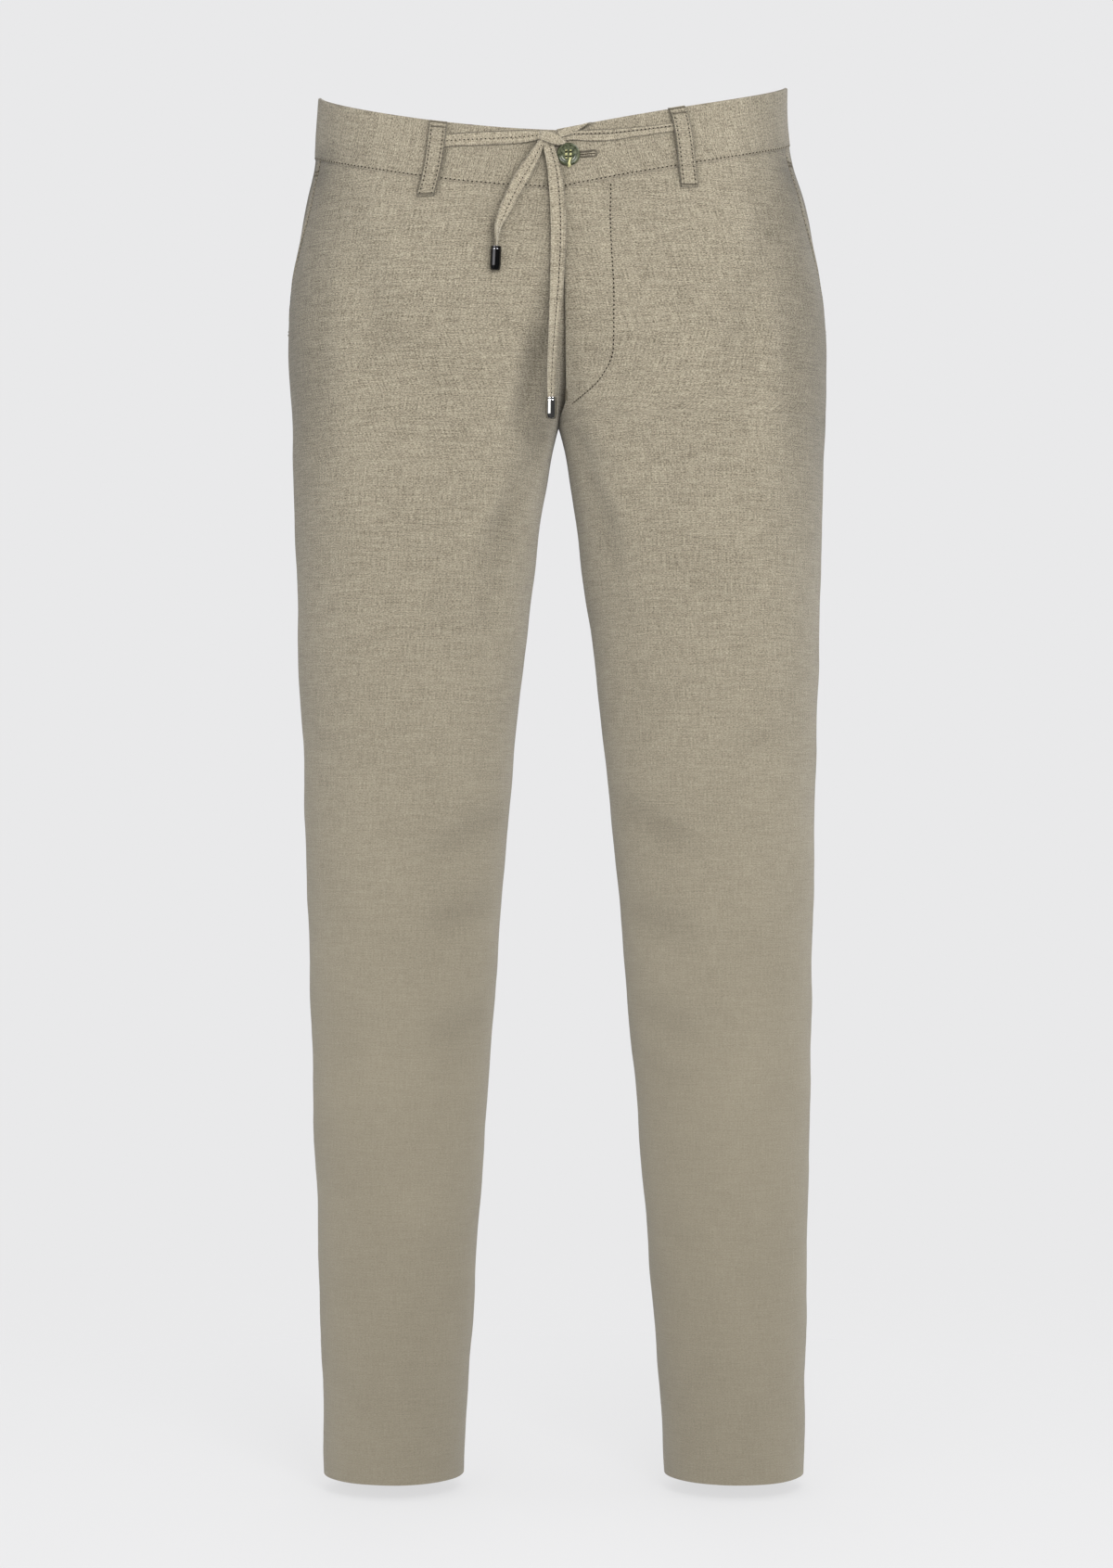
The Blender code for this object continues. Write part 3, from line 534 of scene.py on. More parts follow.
# Lines of the right front and of the right waistband on their way under the flap, in mm: from the
# flap's edge where the fly opens, from the centre seam under it, and from the waistband's own edge.
LAPPED = (-8, -6, -4.2, -2.8, -2.0, -1.5, -1.1, -0.8, -0.5, -0.2, 0.1, 0.5, 2, 6, 12)
SEAMED = (-8, -6, -4.4, -3.2, -2.4, -1.9, -1.5, -1.2, -0.9, -0.6, -0.4, -0.3, -0.2, -0.1, -0.05)
WAIST_UNDERLAP = LAPPED[:12] + (3, 8, 14, 20, 25, 30)
EDGE_STEPS = np.array((0, 0.3, 0.8, 1.5, 2.6)) * MM


def edge_spaced(count, length, ends=(True, True)):
    """Shares from 0 to 1: close together in the last few millimetres before an edge, even between."""
    near = EDGE_STEPS / length
    first = near if ends[0] else near[:1]
    last = 1 - near[::-1] if ends[1] else 1 - near[:1]
    middle = np.linspace(first[-1], last[0], count - len(first) - len(last) + 2)[1:-1]
    return np.concatenate([first, middle, last])


def front_left_columns(side, z, share):
    """Columns from the mouth to the flap's edge, which becomes the centre seam under the fly."""
    edge = inner_edge(side, z, FLAP_EDGE * fly_opening(z) - SEAM_LAP, 1)
    return seam_start(side, z) * (1 - share) + edge * share


def stepped_columns(start, share, lines):
    """Even columns from the start to the first line, then one at each line."""
    angle = start * (1 - share) + lines[0] * share
    for i, line in enumerate(lines):
        angle[:, i - len(lines)] = line[:, i - len(lines)]
    return angle


def front_right_columns(side, z, share):
    """Columns from the mouth to the step under the flap, and down that step."""
    lines = [front_right_edge(side, z, *step) for step in np.column_stack([LAPPED, SEAMED]) * MM]
    return stepped_columns(seam_start(side, z), share, lines)


def back_columns(side, z, share):
    """Columns from the seat seam to the side seam."""
    return back_centre(side, z) * (1 - share) + seam_end(side, z) * share


def waistband_columns(side, z, share):
    """Columns from the centre back to the flap, and on the right side down the step under it."""
    steps = WAIST_UNDERLAP if side < 0 else (GAP / 2 / MM,)
    lines = [inner_edge(side, z, WAIST_FLAP_EDGE + step * MM, 1) for step in steps]
    return stepped_columns(back_centre(side, z), share, lines)


def panel_sink(side, points):
    """How far the right front steps in on its way under the flap."""
    if side > 0:
        return np.zeros(points.shape[:-1])
    x, z = points[..., 0] - lean(points[..., 2]), points[..., 2]
    flap = FLAP_EDGE * fly_opening(z)
    under = smoothstep(x, flap - 1.0 * MM, flap + 0.5 * MM)
    return FLAP_SINK * smoothstep(z, SINK_FOOT, SINK_FULL) * under


def waist_sink(side, points):
    """How far the right half of the waistband steps in under the left one."""
    if side > 0:
        return np.zeros(points.shape[:-1])
    x = points[..., 0] - lean(points[..., 2])
    return WAIST_FLAP_SINK * smoothstep(x, WAIST_FLAP_EDGE - 1.2 * MM, WAIST_FLAP_EDGE + 0.4 * MM)


# ------------------------------------------------------------------ meshes


def add_piece(name, part, materials, material_of=None, replaces=()):
    """One mesh from arrays: points [n, 3], a list of face arrays [m, corners], uv [n, 2], and how
    much of its colour each point keeps under painted shade in seams, folds and shadows [n]. material_of
    lists the material's number of each face."""
    points, faces, uv, shade = part
    faces = [np.asarray(group) for group in faces if len(group)]
    corners = np.concatenate([group.ravel() for group in faces])
    counts = np.concatenate([np.full(len(group), group.shape[1]) for group in faces])
    mesh = bpy.data.meshes.new(name)
    mesh.vertices.add(len(points))
    mesh.vertices.foreach_set("co", np.asarray(points, np.float32).ravel())
    mesh.loops.add(len(corners))
    mesh.loops.foreach_set("vertex_index", corners.astype(np.int32))
    mesh.polygons.add(len(counts))
    mesh.polygons.foreach_set("loop_start", (np.cumsum(counts) - counts).astype(np.int32))
    if material_of is not None:
        mesh.polygons.foreach_set("material_index", np.concatenate(material_of).astype(np.int32))
    mesh.update(calc_edges=True)
    mesh.validate()
    layer = mesh.uv_layers.new(name="UVMap")
    layer.data.foreach_set("uv", np.asarray(uv, np.float32)[corners].ravel())
    painted_shade_share = mesh.attributes.new("shade", "FLOAT", "POINT")
    painted_shade_share.data.foreach_set("value", np.asarray(shade, np.float32))
    mesh.shade_smooth()
    piece = bpy.data.objects.new(name, mesh)
    for material in materials:
        mesh.materials.append(material)
    bpy.context.scene.collection.objects.link(piece)
    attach(piece, BODY)
    if replaces:
        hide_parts(*replaces)
    return piece


def grid_faces(index, closed=False):
    """Four-cornered faces of a grid of point numbers, [row, column]. closed joins its last column
    to its first."""
    if closed:
        index = np.concatenate([index, index[:, :1]], axis=1)
    corners = (index[:-1, :-1], index[:-1, 1:], index[1:, 1:], index[1:, :-1])
    return np.stack(corners, axis=-1).reshape(-1, 4)


def fan(ring, pole, last):
    """Triangles from a ring of point numbers to one point, at the start or the end of a tube."""
    after = np.roll(ring, -1)
    pole = np.full(len(ring), pole)
    return np.stack([pole, ring, after] if last else [pole, after, ring], axis=-1)


def tube_faces(index):
    """Faces of a tube of rings [row, column], whose two closing points are numbered after it."""
    fans = [fan(index[0], index.size, False), fan(index[-1], index.size + 1, True)]
    return [grid_faces(index, closed=True), np.concatenate(fans)]


def turn_round(count):
    """Even angles all round a circle."""
    return np.arange(count) * 2 * math.pi / count


def border(rows, columns):
    """Row and column numbers all round a grid, in order."""
    r = np.concatenate([np.zeros(columns), np.arange(1, rows), np.full(columns - 1, rows - 1)])
    r = np.concatenate([r, np.arange(rows - 2, 0, -1)]).astype(int)
    c = np.concatenate([np.arange(columns), np.full(rows - 1, columns - 1)])
    c = np.concatenate([c, np.arange(columns - 2, -1, -1), np.zeros(rows - 2)]).astype(int)
    return r, c


def cloth_wall(outer, inner, uv, side, bulge, shade):
    """A closed wall between two grids, with a rounded rim: a middle ring of points that stands out
    from the edge by "bulge" and is painted a little darker, as painted shade on the rim."""
    rows, columns = outer.shape[:2]
    index = np.arange(rows * columns).reshape(rows, columns)
    r, c = border(rows, columns)
    inset = outer[np.clip(r, 1, rows - 2), np.clip(c, 1, columns - 2)]
    ring = (outer[r, c] + inner[r, c]) / 2 + unit(outer[r, c] - inset) * bulge
    count = rows * columns
    first, last = index[r, c], index[r, c] + count
    middle = 2 * count + np.arange(len(r))
    strips = [
        np.stack([np.roll(a, -1), a, b, np.roll(b, -1)], axis=-1)
        for a, b in ((first, middle), (middle, last))
    ]
    faces = np.concatenate([grid_faces(index), grid_faces(index + count)[:, ::-1], *strips])
    points = np.concatenate([outer.reshape(-1, 3), inner.reshape(-1, 3), ring])
    flat = uv.reshape(-1, 2)
    uv = np.concatenate([flat, flat, flat[first]])
    painted_shade_share = shade.ravel()
    # the rim ring is painted darker: painted shade at 0.8 of the edge's share
    shade = np.concatenate([painted_shade_share, painted_shade_share, 0.8 * painted_shade_share[first]])
    return points, [faces if side > 0 else faces[:, ::-1]], uv, shade


def as_part(points, faces):
    """A part without a UV map of its own reads x and z, and keeps all its colour."""
    return points, faces, points[:, (0, 2)], np.ones(len(points))


def joined(parts):
    """Several parts made one."""
    faces, start = [], 0
    for part in parts:
        faces += [group + start for group in part[1]]
        start += len(part[0])
    points, uv, shade = (np.concatenate([part[k] for part in parts]) for k in (0, 2, 3))
    return points, faces, uv, shade


def kinds_of(parts, kinds):
    """The finish number of each face group of the parts, in order."""
    return [np.full(len(group), kind) for kind, part in zip(kinds, parts) for group in part[1]]


def arc_along(points, axis):
    """Running length along one axis of a grid of points."""
    steps = np.linalg.norm(np.diff(points, axis=axis), axis=-1)
    start = np.zeros_like(np.take(steps, [0], axis=axis))
    return np.concatenate([start, np.cumsum(steps, axis=axis)], axis=axis)


def pucker(along, across, length, height, reach):
    """Small uneven ripples square to a seam: a sine along it that dies away across it."""
    turn = 2 * math.pi * along / length
    uneven = turn + 1.3 * np.sin(turn / 3.7) + 0.7 * np.sin(turn / 1.9)
    return height * np.sin(uneven) * np.exp(-across / reach)


# ------------------------------------------------------------------ shader arithmetic


class Wire:
    """A socket of a material that takes part in Python expressions. Each operation adds a Math node."""

    def __init__(self, recipe, socket):
        self.recipe, self.socket = recipe, socket

    def math(self, operation, *others):
        return self.recipe.add("ShaderNodeMath", {"operation": operation}, self, *others)

    def __add__(self, other):
        return self.math("ADD", other)

    def __sub__(self, other):
        return self.math("SUBTRACT", other)

    def __mul__(self, other):
        return self.math("MULTIPLY", other)

    def __truediv__(self, other):
        return self.math("DIVIDE", other)

    def __rsub__(self, other):
        return self.recipe.add("ShaderNodeMath", {"operation": "SUBTRACT"}, other, self)

    __radd__, __rmul__ = __add__, __mul__

    def clamp(self):
        """The value, held between 0 and 1."""
        return self.math("MAXIMUM", 0.0).math("MINIMUM", 1.0)

    def step(self, start, end):
        """0 before start and 1 after end, eased between."""
        settings = {"interpolation_type": "SMOOTHSTEP"}
        return self.recipe.add("ShaderNodeMapRange", settings, self, start, end, 0.0, 1.0)


class Recipe:
    """A node tree, built from expressions: a new material's, or the one that is given."""

    def __init__(self, name, tree=None):
        self.tree = tree
        if tree is None:
            self.material = bpy.data.materials.new(name)
            self.material.use_nodes = True
            self.tree = self.material.node_tree
            self.shader = self.tree.nodes["Principled BSDF"]

    def add(self, kind, settings, *values, output=0, **named):
        """A node of this kind with its settings, its inputs by order or by name, as a Wire."""
        node = self.tree.nodes.new(kind)
        for key, value in settings.items():
            setattr(node, key, value)
        pairs = list(zip(node.inputs, values))
        pairs += [(node.inputs[key.replace("_", " ")], value) for key, value in named.items()]
        for socket, value in pairs:
            self.fill(socket, value)
        return Wire(self, node.outputs[output])

    def fill(self, socket, value):
        """Links a Wire to a socket, or sets the socket's own value."""
        if isinstance(value, Wire):
            self.tree.links.new(value.socket, socket)
        else:
            socket.default_value = value

    def place(self, source):
        """X, Y and Z wires of the piece's UV map or of its Object coordinates."""
        if source == "UV":
            vector = self.add("ShaderNodeUVMap", {"uv_map": "UVMap"})
        else:
            vector = self.add("ShaderNodeTexCoord", {}, output="Object")
        return [self.add("ShaderNodeSeparateXYZ", {}, vector, output=axis) for axis in range(3)]

    def noise(self, x, y, z, detail=1.0):
        """Smooth noise from 0 to 1 whose cells are one long in x, y and z."""
        vector = self.add("ShaderNodeCombineXYZ", {}, x, y, z)
        settings = {"noise_dimensions": "3D"}
        return self.add("ShaderNodeTexNoise", settings, Vector=vector, Scale=1.0, Detail=detail)

    def blend(self, share, first, second):
        """A mix of two colours."""
        node = self.tree.nodes.new("ShaderNodeMix")
        node.data_type = "RGBA"
        for socket, value in zip((node.inputs[0], node.inputs[6], node.inputs[7]), (share, first, second)):
            self.fill(socket, value)
        return Wire(self, node.outputs[2])

    def bump(self, height, distance, strength):
        """A normal that is tilted by a height's slope."""
        return self.add("ShaderNodeBump", {}, Strength=strength, Distance=distance, Height=height)

    def finish(self, **values):
        """Fills the shader's sockets by name and returns the material."""
        for key, value in values.items():
            self.fill(self.shader.inputs[key.replace("_", " ")], value)
        return self.material


def linear(red, green, blue):
    """A colour of 0 to 255 as the light it stands for."""
    share = [c / 255 for c in (red, green, blue)]
    return tuple(c / 12.92 if c <= 0.04045 else ((c + 0.055) / 1.055) ** 2.4 for c in share) + (1.0,)


def toned(colour, factor):
    """A colour with this share of its light."""
    return tuple(c * factor for c in colour[:3]) + (1.0,)


# ------------------------------------------------------------------ finishes


def woven_cloth(name, settings, tone=1.0):
    """Plain weave of uneven yarns. Long thin noise along each direction gives each yarn its own tone,
    a fine noise gives the mixed grain, and a product of cosines gives the over and under, which also
    paints the crossings lighter and the gaps between yarns darker as painted shade. The grain is
    weaker further down the legs. The "shade" attribute blends in painted shade towards a near-black tone."""
    recipe = Recipe(name)
    u, v, _ = recipe.place("UV")
    _, _, z = recipe.place("Object")
    warp = recipe.noise(u * (1 / (0.8 * MM)), v * (1 / (16 * MM)), 0.0)
    weft = recipe.noise(u * (1 / (16 * MM)), v * (1 / (0.7 * MM)), 7.3)
    grain = recipe.noise(u * (1 / (1.5 * MM)), v * (1 / (0.62 * MM)), 3.1)
    warp_slub = recipe.noise(u * (1 / (1.1 * MM)), v * (1 / (45 * MM)), 11.0).step(0.62, 0.76)
    weft_slub = recipe.noise(u * (1 / (26 * MM)), v * (1 / (0.9 * MM)), 23.0).step(0.62, 0.76)
    cloud = recipe.noise(u * (1 / (60 * MM)), v * (1 / (75 * MM)), 5.0, detail=2.0)
    upper = z.step(-0.76, -0.12) * 0.78 + 0.22
    mixed = (warp - 0.5) * 0.8 + (weft - 0.5) * 0.9 + (grain - 0.5) * 2.4
    slubs = (weft_slub * 0.12 + warp_slub * 0.08 - 0.05) * upper
    mixed = mixed * upper * settings.melange + slubs + (cloud - 0.5) * 0.12
    pitch = math.pi / settings.yarn_pitch
    over = ((u * pitch).math("COSINE") * (v * pitch).math("COSINE")).math("ABSOLUTE")
    share = (mixed + 0.44 + over * 0.15).clamp()
    dark, light = toned(settings.dark_yarn, tone), toned(settings.light_yarn, tone)
    # painted shade: the "shade" attribute darkens the colour in seams, folds, shadows and along the sides
    painted_shade_share = recipe.add("ShaderNodeAttribute", {"attribute_name": "shade"}, output="Fac")
    colour = recipe.blend(painted_shade_share, toned(settings.dark_yarn, 0.12), recipe.blend(share, dark, light))
    relief = over * 0.6 + (warp + weft) * 0.4 + grain * 0.8 + (warp_slub + weft_slub) * 0.35
    return recipe.finish(
        Base_Color=colour,
        Roughness=0.88 - 0.08 * share,
        Normal=recipe.bump(relief, 0.22 * MM, 0.6),
        Specular_IOR_Level=0.22,
        Diffuse_Roughness=1.0,
        Sheen_Weight=0.22,
        Sheen_Roughness=0.5,
    )


def thread_finish(name, colour):
    """Twisted thread: slanted bands along it, 0.55 mm apart, painted darker in the twist's grooves as
    painted shade, mixed with a fine grain.
    """
    recipe = Recipe(name)
    x, y, z = recipe.place("Object")
    twist = ((x + y * 0.6 + z * 0.8) * (2 * math.pi / (0.55 * MM))).math("SINE") * 0.5 + 0.5
    grain = recipe.noise(x * 1500, y * 1500, z * 1500)
    mixed = recipe.blend((twist * 0.6 + grain * 0.4).clamp(), toned(colour, 0.78), toned(colour, 1.12))
    return recipe.finish(Base_Color=mixed, Roughness=0.62, Normal=recipe.bump(twist, 0.06 * MM, 0.6))


def needle_hole_shade_finish(name, colour):
    """The dark inside of a needle hole, painted shade, uneven by a fine noise."""
    recipe = Recipe(name)
    x, y, z = recipe.place("Object")
    grain = recipe.noise(x * 900, y * 900, z * 900)
    mixed = recipe.blend(grain, toned(colour, 0.6), toned(colour, 1.2))
    return recipe.finish(Base_Color=mixed, Roughness=0.95, Specular_IOR_Level=0.1)


def metal_finish(name, colour, rough):
    """Polished metal with faint marks of handling. Its colour is painted darker where it turns away,
    as painted shade at its edges.
    """
    recipe = Recipe(name)
    x, y, z = recipe.place("Object")
    marks = recipe.noise(x * 320, y * 320, z * 900, detail=3.0)
    smudge = recipe.noise(x * 160, y * 160, z * 160)
    # painted shade: the colour goes nearly black where the surface turns away
    turned = recipe.add("ShaderNodeLayerWeight", {}, 0.5, output="Facing").step(0.30, 0.62)
    facing = recipe.blend(smudge, toned(colour, 0.9), toned(colour, 1.05))
    return recipe.finish(
        Base_Color=recipe.blend(turned, facing, toned(colour, 0.1)),
        Metallic=1.0,
        Roughness=rough + 0.08 * marks,
        Normal=recipe.bump(marks, 0.02 * MM, 0.25),
    )


def button_finish(settings):
    """Marbled plastic: two greens mixed by a bent noise."""
    recipe = Recipe("button plastic")
    x, y, z = recipe.place("Object")
    bend = recipe.noise(x * 190, y * 190, z * 190, detail=2.0)
    marble = recipe.noise(x * 420 + bend * 2.2, y * 420, z * 420 + bend * 1.6, detail=3.0).step(0.36, 0.66)
    return recipe.finish(
        Base_Color=recipe.blend(marble, settings.button_dark, settings.button_light),
        Roughness=0.26 + 0.14 * marble,
        Normal=recipe.bump(marble, 0.03 * MM, 0.3),
        Coat_Weight=0.35,
        Coat_Roughness=0.18,
    )


FINISHES = {}


def finishes():
    """The materials, made once."""
    if FINISHES:
        return FINISHES
    cloth, trim = bpy.context.scene.chinos_cloth, bpy.context.scene.chinos_trim
    FINISHES["cloth"] = woven_cloth("woven cloth", cloth)
    FINISHES["cord"] = woven_cloth("drawstring cloth", cloth, tone=1.13)
    # painted shade: a darker tone of the cloth for the strip in each stitch row's groove
    FINISHES["pressed"] = woven_cloth("cloth pressed by stitches", cloth, tone=0.62)
    FINISHES["thread"] = thread_finish("sewing thread", trim.thread)
    FINISHES["hole"] = needle_hole_shade_finish("needle hole", trim.hole)
    FINISHES["bartack"] = thread_finish("bartack thread", toned(trim.thread, 0.42))
    FINISHES["buttonhole"] = thread_finish("buttonhole thread", toned(trim.thread, 0.34))
    FINISHES["bright"] = metal_finish("polished nickel", trim.bright_metal, 0.07)
    FINISHES["dark"] = metal_finish("dark nickel", trim.dark_metal, 0.12)
    FINISHES["button"] = button_finish(trim)
    FINISHES["button thread"] = thread_finish("button thread", trim.button_thread)
    return FINISHES


# ------------------------------------------------------------------ stitches

THREAD_RADIUS = 0.2 * MM


def resampled(points, normals, pitch):
    """Points, directions and normals at even steps along a line."""
    along = arc_along(points, 0)
    count = max(2, int(round(along[-1] / pitch)))
    at = (np.arange(count) + 0.5) * along[-1] / count

    def read(values):
        return np.stack([np.interp(at, along, values[:, k]) for k in range(3)], axis=1)

    ahead = unit(read(np.gradient(points, axis=0)))
    return read(points), ahead, unit(read(normals)), along[-1] / count


def thread_shape(rings=5, around=6):
    """A bent capsule: rings along it, thinner and lower towards both ends. Columns are along
    (-0.5 to 0.5), sideways and up in radii, and the arch's height (0 to 1)."""
    along = np.linspace(-0.5, 0.5, rings)
    turn = turn_round(around)
    thick = np.sqrt(np.clip(1 - (np.abs(along) * 1.7) ** 3, 0.12, 1))
    a, t = np.meshgrid(along, turn, indexing="ij")
    ring = np.stack([a, np.cos(t) * thick[:, None], np.sin(t) * thick[:, None], 1 - (2 * a) ** 2], axis=-1)
    ends = np.array(((-0.53, 0, 0, 0), (0.53, 0, 0, 0)))
    points = np.concatenate([ring.reshape(-1, 4), ends])
    return points, tube_faces(np.arange(rings * around).reshape(rings, around))


def hole_shape(around=6):
    """A flat double cone: a ring with a point above and one below."""
    turn = turn_round(around)
    rim = np.stack([np.cos(turn), np.sin(turn), 0 * turn], axis=-1)
    points = np.concatenate([rim, ((0, 0, 1.0), (0, 0, -1.0))])
    ring = np.arange(around)
    after = np.roll(ring, -1)
    top = np.stack([ring, after, np.full(around, around)], axis=-1)
    low = np.stack([after, ring, np.full(around, around + 1)], axis=-1)
    return points, [np.concatenate([top, low])]


def copies(places, shape_faces):
    """Many copies of a shape as one part: its points at each place, [n, points, 3], and its faces
    numbered on."""
    count, size = places.shape[:2]
    shift = (np.arange(count) * size)[:, None, None]
    faces = [(group[None] + shift).reshape(-1, group.shape[1]) for group in shape_faces]
    return as_part(places.reshape(-1, 3), faces)


def threads_at(middle, ahead, normal, length, radius, arch):
    """Threads at these middles, lying along ahead and arched over the cloth."""
    shape, faces = thread_shape()
    sideways = np.cross(normal, ahead)
    length = np.broadcast_to(length, len(middle))
    places = (
        middle[:, None]
        + ahead[:, None] * (shape[None, :, 0] * length[:, None])[..., None]
        + sideways[:, None] * (shape[:, 1] * radius)[None, :, None]
        + normal[:, None] * (shape[:, 2] * radius + shape[:, 3] * arch)[None, :, None]
    )
    return copies(places, faces)


def holes_at(middle, ahead, normal, radius, deep):
    """Needle holes as flat double cones of painted shade, longer along the row than across it."""
    shape, faces = hole_shape()
    sideways = np.cross(normal, ahead)
    places = (
        middle[:, None]
        + ahead[:, None] * (shape[:, 0] * radius)[None, :, None]
        + sideways[:, None] * (shape[:, 1] * radius * 0.66)[None, :, None]
        + normal[:, None] * (shape[:, 2] * deep)[None, :, None]
    )
    return copies(places, faces)


def stitch_run(points, normals, pitch, hole=0.78 * MM):
    """A row of lockstitches: a slanted thread between each two needle holes, over a low strip of
    painted shade, darker cloth where the row presses the cloth in. Returns threads, holes and strip."""
    middle, ahead, normal, step = resampled(points, normals, pitch)
    sideways = np.cross(normal, ahead)
    slanted, length = unit(ahead + 0.22 * sideways), step - 1.7 * hole
    threads = threads_at(middle + normal * 0.14 * MM, slanted, normal, length, THREAD_RADIUS, 0.10 * MM)
    holes = holes_at(middle + ahead * step / 2 + normal * 0.20 * MM, ahead, normal, hole, 0.14 * MM)
    half, low, crown = sideways * 0.36 * MM, normal * 0.08 * MM, normal * 0.14 * MM
    edges = [middle - half + low, middle + crown, middle + half + low, middle - normal * 0.2 * MM]
    index = np.arange(len(middle) * 4).reshape(-1, 4)
    ends = np.stack([index[0], index[-1][::-1]])
    strip = np.stack(edges, axis=1).reshape(-1, 3)
    return threads, holes, as_part(strip, [grid_faces(index, closed=True), ends])


def bartack(centre, along, normal, length, width, count):
    """Dense zigzag threads across a short bar that runs along "along"."""
    across = np.cross(normal, along)
    share = np.linspace(-0.5, 0.5, count)
    middle = centre + along * (share * length)[:, None]
    slant = unit(across + along * 0.16 * np.where(np.arange(count) % 2, 1, -1)[:, None])
    lift = 0.16 * MM + 0.10 * MM * (np.arange(count) % 3)
    middle = middle + normal * lift[:, None]
    normals = np.broadcast_to(normal, middle.shape)
    return threads_at(middle, slant, normals, width, THREAD_RADIUS, 0.14 * MM)


def add_stitching(name, runs, tacks=(), pale=()):
    """One piece from rows of stitches, bartacks and pale threads over these."""
    slots = [finishes()[finish] for finish in ("thread", "hole", "bartack", "pressed")]
    parts = [part for run in runs for part in run] + [*tacks, *pale]
    kinds = [0, 1, 3] * len(runs) + [2] * len(tacks) + [0] * len(pale)
    add_piece(name, joined(parts), slots, kinds_of(parts, kinds))


# ------------------------------------------------------------------ settings


def colour_setting(name, description, default):
    """A colour that a user may change. The next three are for lengths, shares and lamps."""
    return bpy.props.FloatVectorProperty(
        name=name, description=description, default=default, size=4, subtype="COLOR", min=0, max=1
    )


def length_setting(name, description, default):
    return bpy.props.FloatProperty(
        name=name, description=description, default=default, min=0.1 * MM, subtype="DISTANCE", unit="LENGTH"
    )


def share_setting(name, description, default):
    return bpy.props.FloatProperty(
        name=name, description=description, default=default, min=0, max=2, subtype="FACTOR"
    )


def lamp_setting(name, description, default):
    return bpy.props.FloatProperty(name=name, description=description, default=default, min=0, unit="POWER")


class ChinosCloth(bpy.types.PropertyGroup):
    """Sizes and colours of the cloth."""

    dark_yarn: colour_setting("Dark yarn", "Colour of the darkest yarns", linear(104, 96, 81))
    light_yarn: colour_setting("Light yarn", "Colour of the palest yarns", linear(198, 189, 168))
    melange: share_setting("Melange", "How far the yarns differ in tone", 0.80)
    yarn_pitch: length_setting("Yarn pitch", "Distance between two yarns", 0.55 * MM)
    crease: share_setting("Fine creases", "Strength of the fine creases", 1.0)
    grid: length_setting("Grid", "Distance between two rows of the panels' meshes", 3.2 * MM)


class ChinosTrim(bpy.types.PropertyGroup):
    """Sizes and colours of thread, button and metal."""

    thread: colour_setting("Thread", "Sewing thread", linear(168, 158, 138))
    hole: colour_setting("Needle hole", "Shade in a needle hole", linear(40, 33, 26))
    button_light: colour_setting("Button light", "Light green of the button", linear(90, 95, 70))
    button_dark: colour_setting("Button dark", "Dark green of the button", linear(54, 59, 42))
    button_thread: colour_setting("Button thread", "Thread of the button", linear(206, 203, 150))
    bright_metal: colour_setting("Bright metal", "Metal of the long end", (0.86, 0.85, 0.83, 1))
    dark_metal: colour_setting("Dark metal", "Metal of the short end", (0.11, 0.108, 0.112, 1))
    stitch: length_setting("Stitch length", "Topstitch length", 3.5 * MM)


class ChinosStage(bpy.types.PropertyGroup):
    """Ground, camera and light."""

    ground: colour_setting("Ground", "Tone of the floor and surroundings", linear(233, 233, 234))
    daylight: colour_setting("Daylight", "Even light from all round", (0.648, 0.648, 0.648, 1))
    lens: bpy.props.FloatProperty(name="Lens", description="Focal length in mm", default=82.1, min=10)
    distance: bpy.props.FloatProperty(
        name="Camera distance",
        description="From the camera to the garment",
        default=2.7,
        min=0.5,
        unit="LENGTH",
    )
    front_light: lamp_setting("Front light", "Strength of the large front light", 3)
    side_light: lamp_setting("Side lights", "Strength of the lights at the front left and right", 8)
    hip_light: lamp_setting("Hip light", "Strength of the smaller light near the hips", 8.6)
    back_light: lamp_setting("Back light", "Strength of the light on the hidden side", 13)


# ------------------------------------------------------------------ cloth pieces


def panel_rows(step):
    """Heights of a panel's rows at the side seam, from the waistband's seam to the hem."""
    seam = SIDE_TOP - WAISTBAND_HEIGHT + SEAM_TUCK
    share = edge_spaced(int((seam - HEM) / step) + 8, seam - HEM)
    return seam + (HEM - seam) * share


def panel_grid(side, columns_at, share, rows):
    """Angles and heights of a panel's grid. Its top rows follow the waistband's seam."""
    level = rows[:, None] + 0 * share[None, :]
    pull = smoothstep(level, rows[0] - SEAM_PULL, rows[0])
    z = level
    for _ in range(PANEL_ROUNDS):
        angle = columns_at(side, z, share)
        seam = top_edge(side, angle) - band_height(side, angle) + SEAM_TUCK
        z = level + (seam - rows[0]) * pull
    return angle, z


def line_distance(x, z, line):
    """Distance in the front view from each point to a line of (x, z) points."""
    best = np.full(x.shape, 1.0)
    for (x0, z0), (x1, z1) in zip(line[:-1], line[1:]):
        run = np.array((x1 - x0, z1 - z0))
        t = np.clip(((x - x0) * run[0] + (z - z0) * run[1]) / (run @ run), 0, 1)
        best = np.minimum(best, np.hypot(x - x0 - t * run[0], z - z0 - t * run[1]))
    return best


# The fly's curved stitch: x and z in mm, from the waistband down to its foot.
FLY_STITCH = (
    (39.5, -62),
    (39.3, -75),
    (39.0, -87),
    (39.9, -112),
    (41.5, -139),
    (41.5, -162),
    (41.3, -178),
    (40.6, -186.5),
    (38.6, -192.5),
    (35.2, -198.6),
    (30.8, -205.0),
    (25.4, -210.3),
    (18.4, -215.6),
    (12.6, -219.4),
)


def fly_line(steps):
    """(x, z) along that stitch: a smooth curve through its points."""
    line = spread(FLY_STITCH, ("x", "z"), steps)
    return np.stack([line["x"], line["z"]], axis=1) * MM


# How much painted shade darkens the sides: (height in mm, share).
SIDE_ROWS = (
    (-1020, 0.0),
    (-700, 0.06),
    (-450, 0.10),
    (-320, 0.18),
    (-230, 0.34),
    (-130, 0.41),
    (-60, 0.39),
    (-24, 0.28),
    (40, 0.22),
)


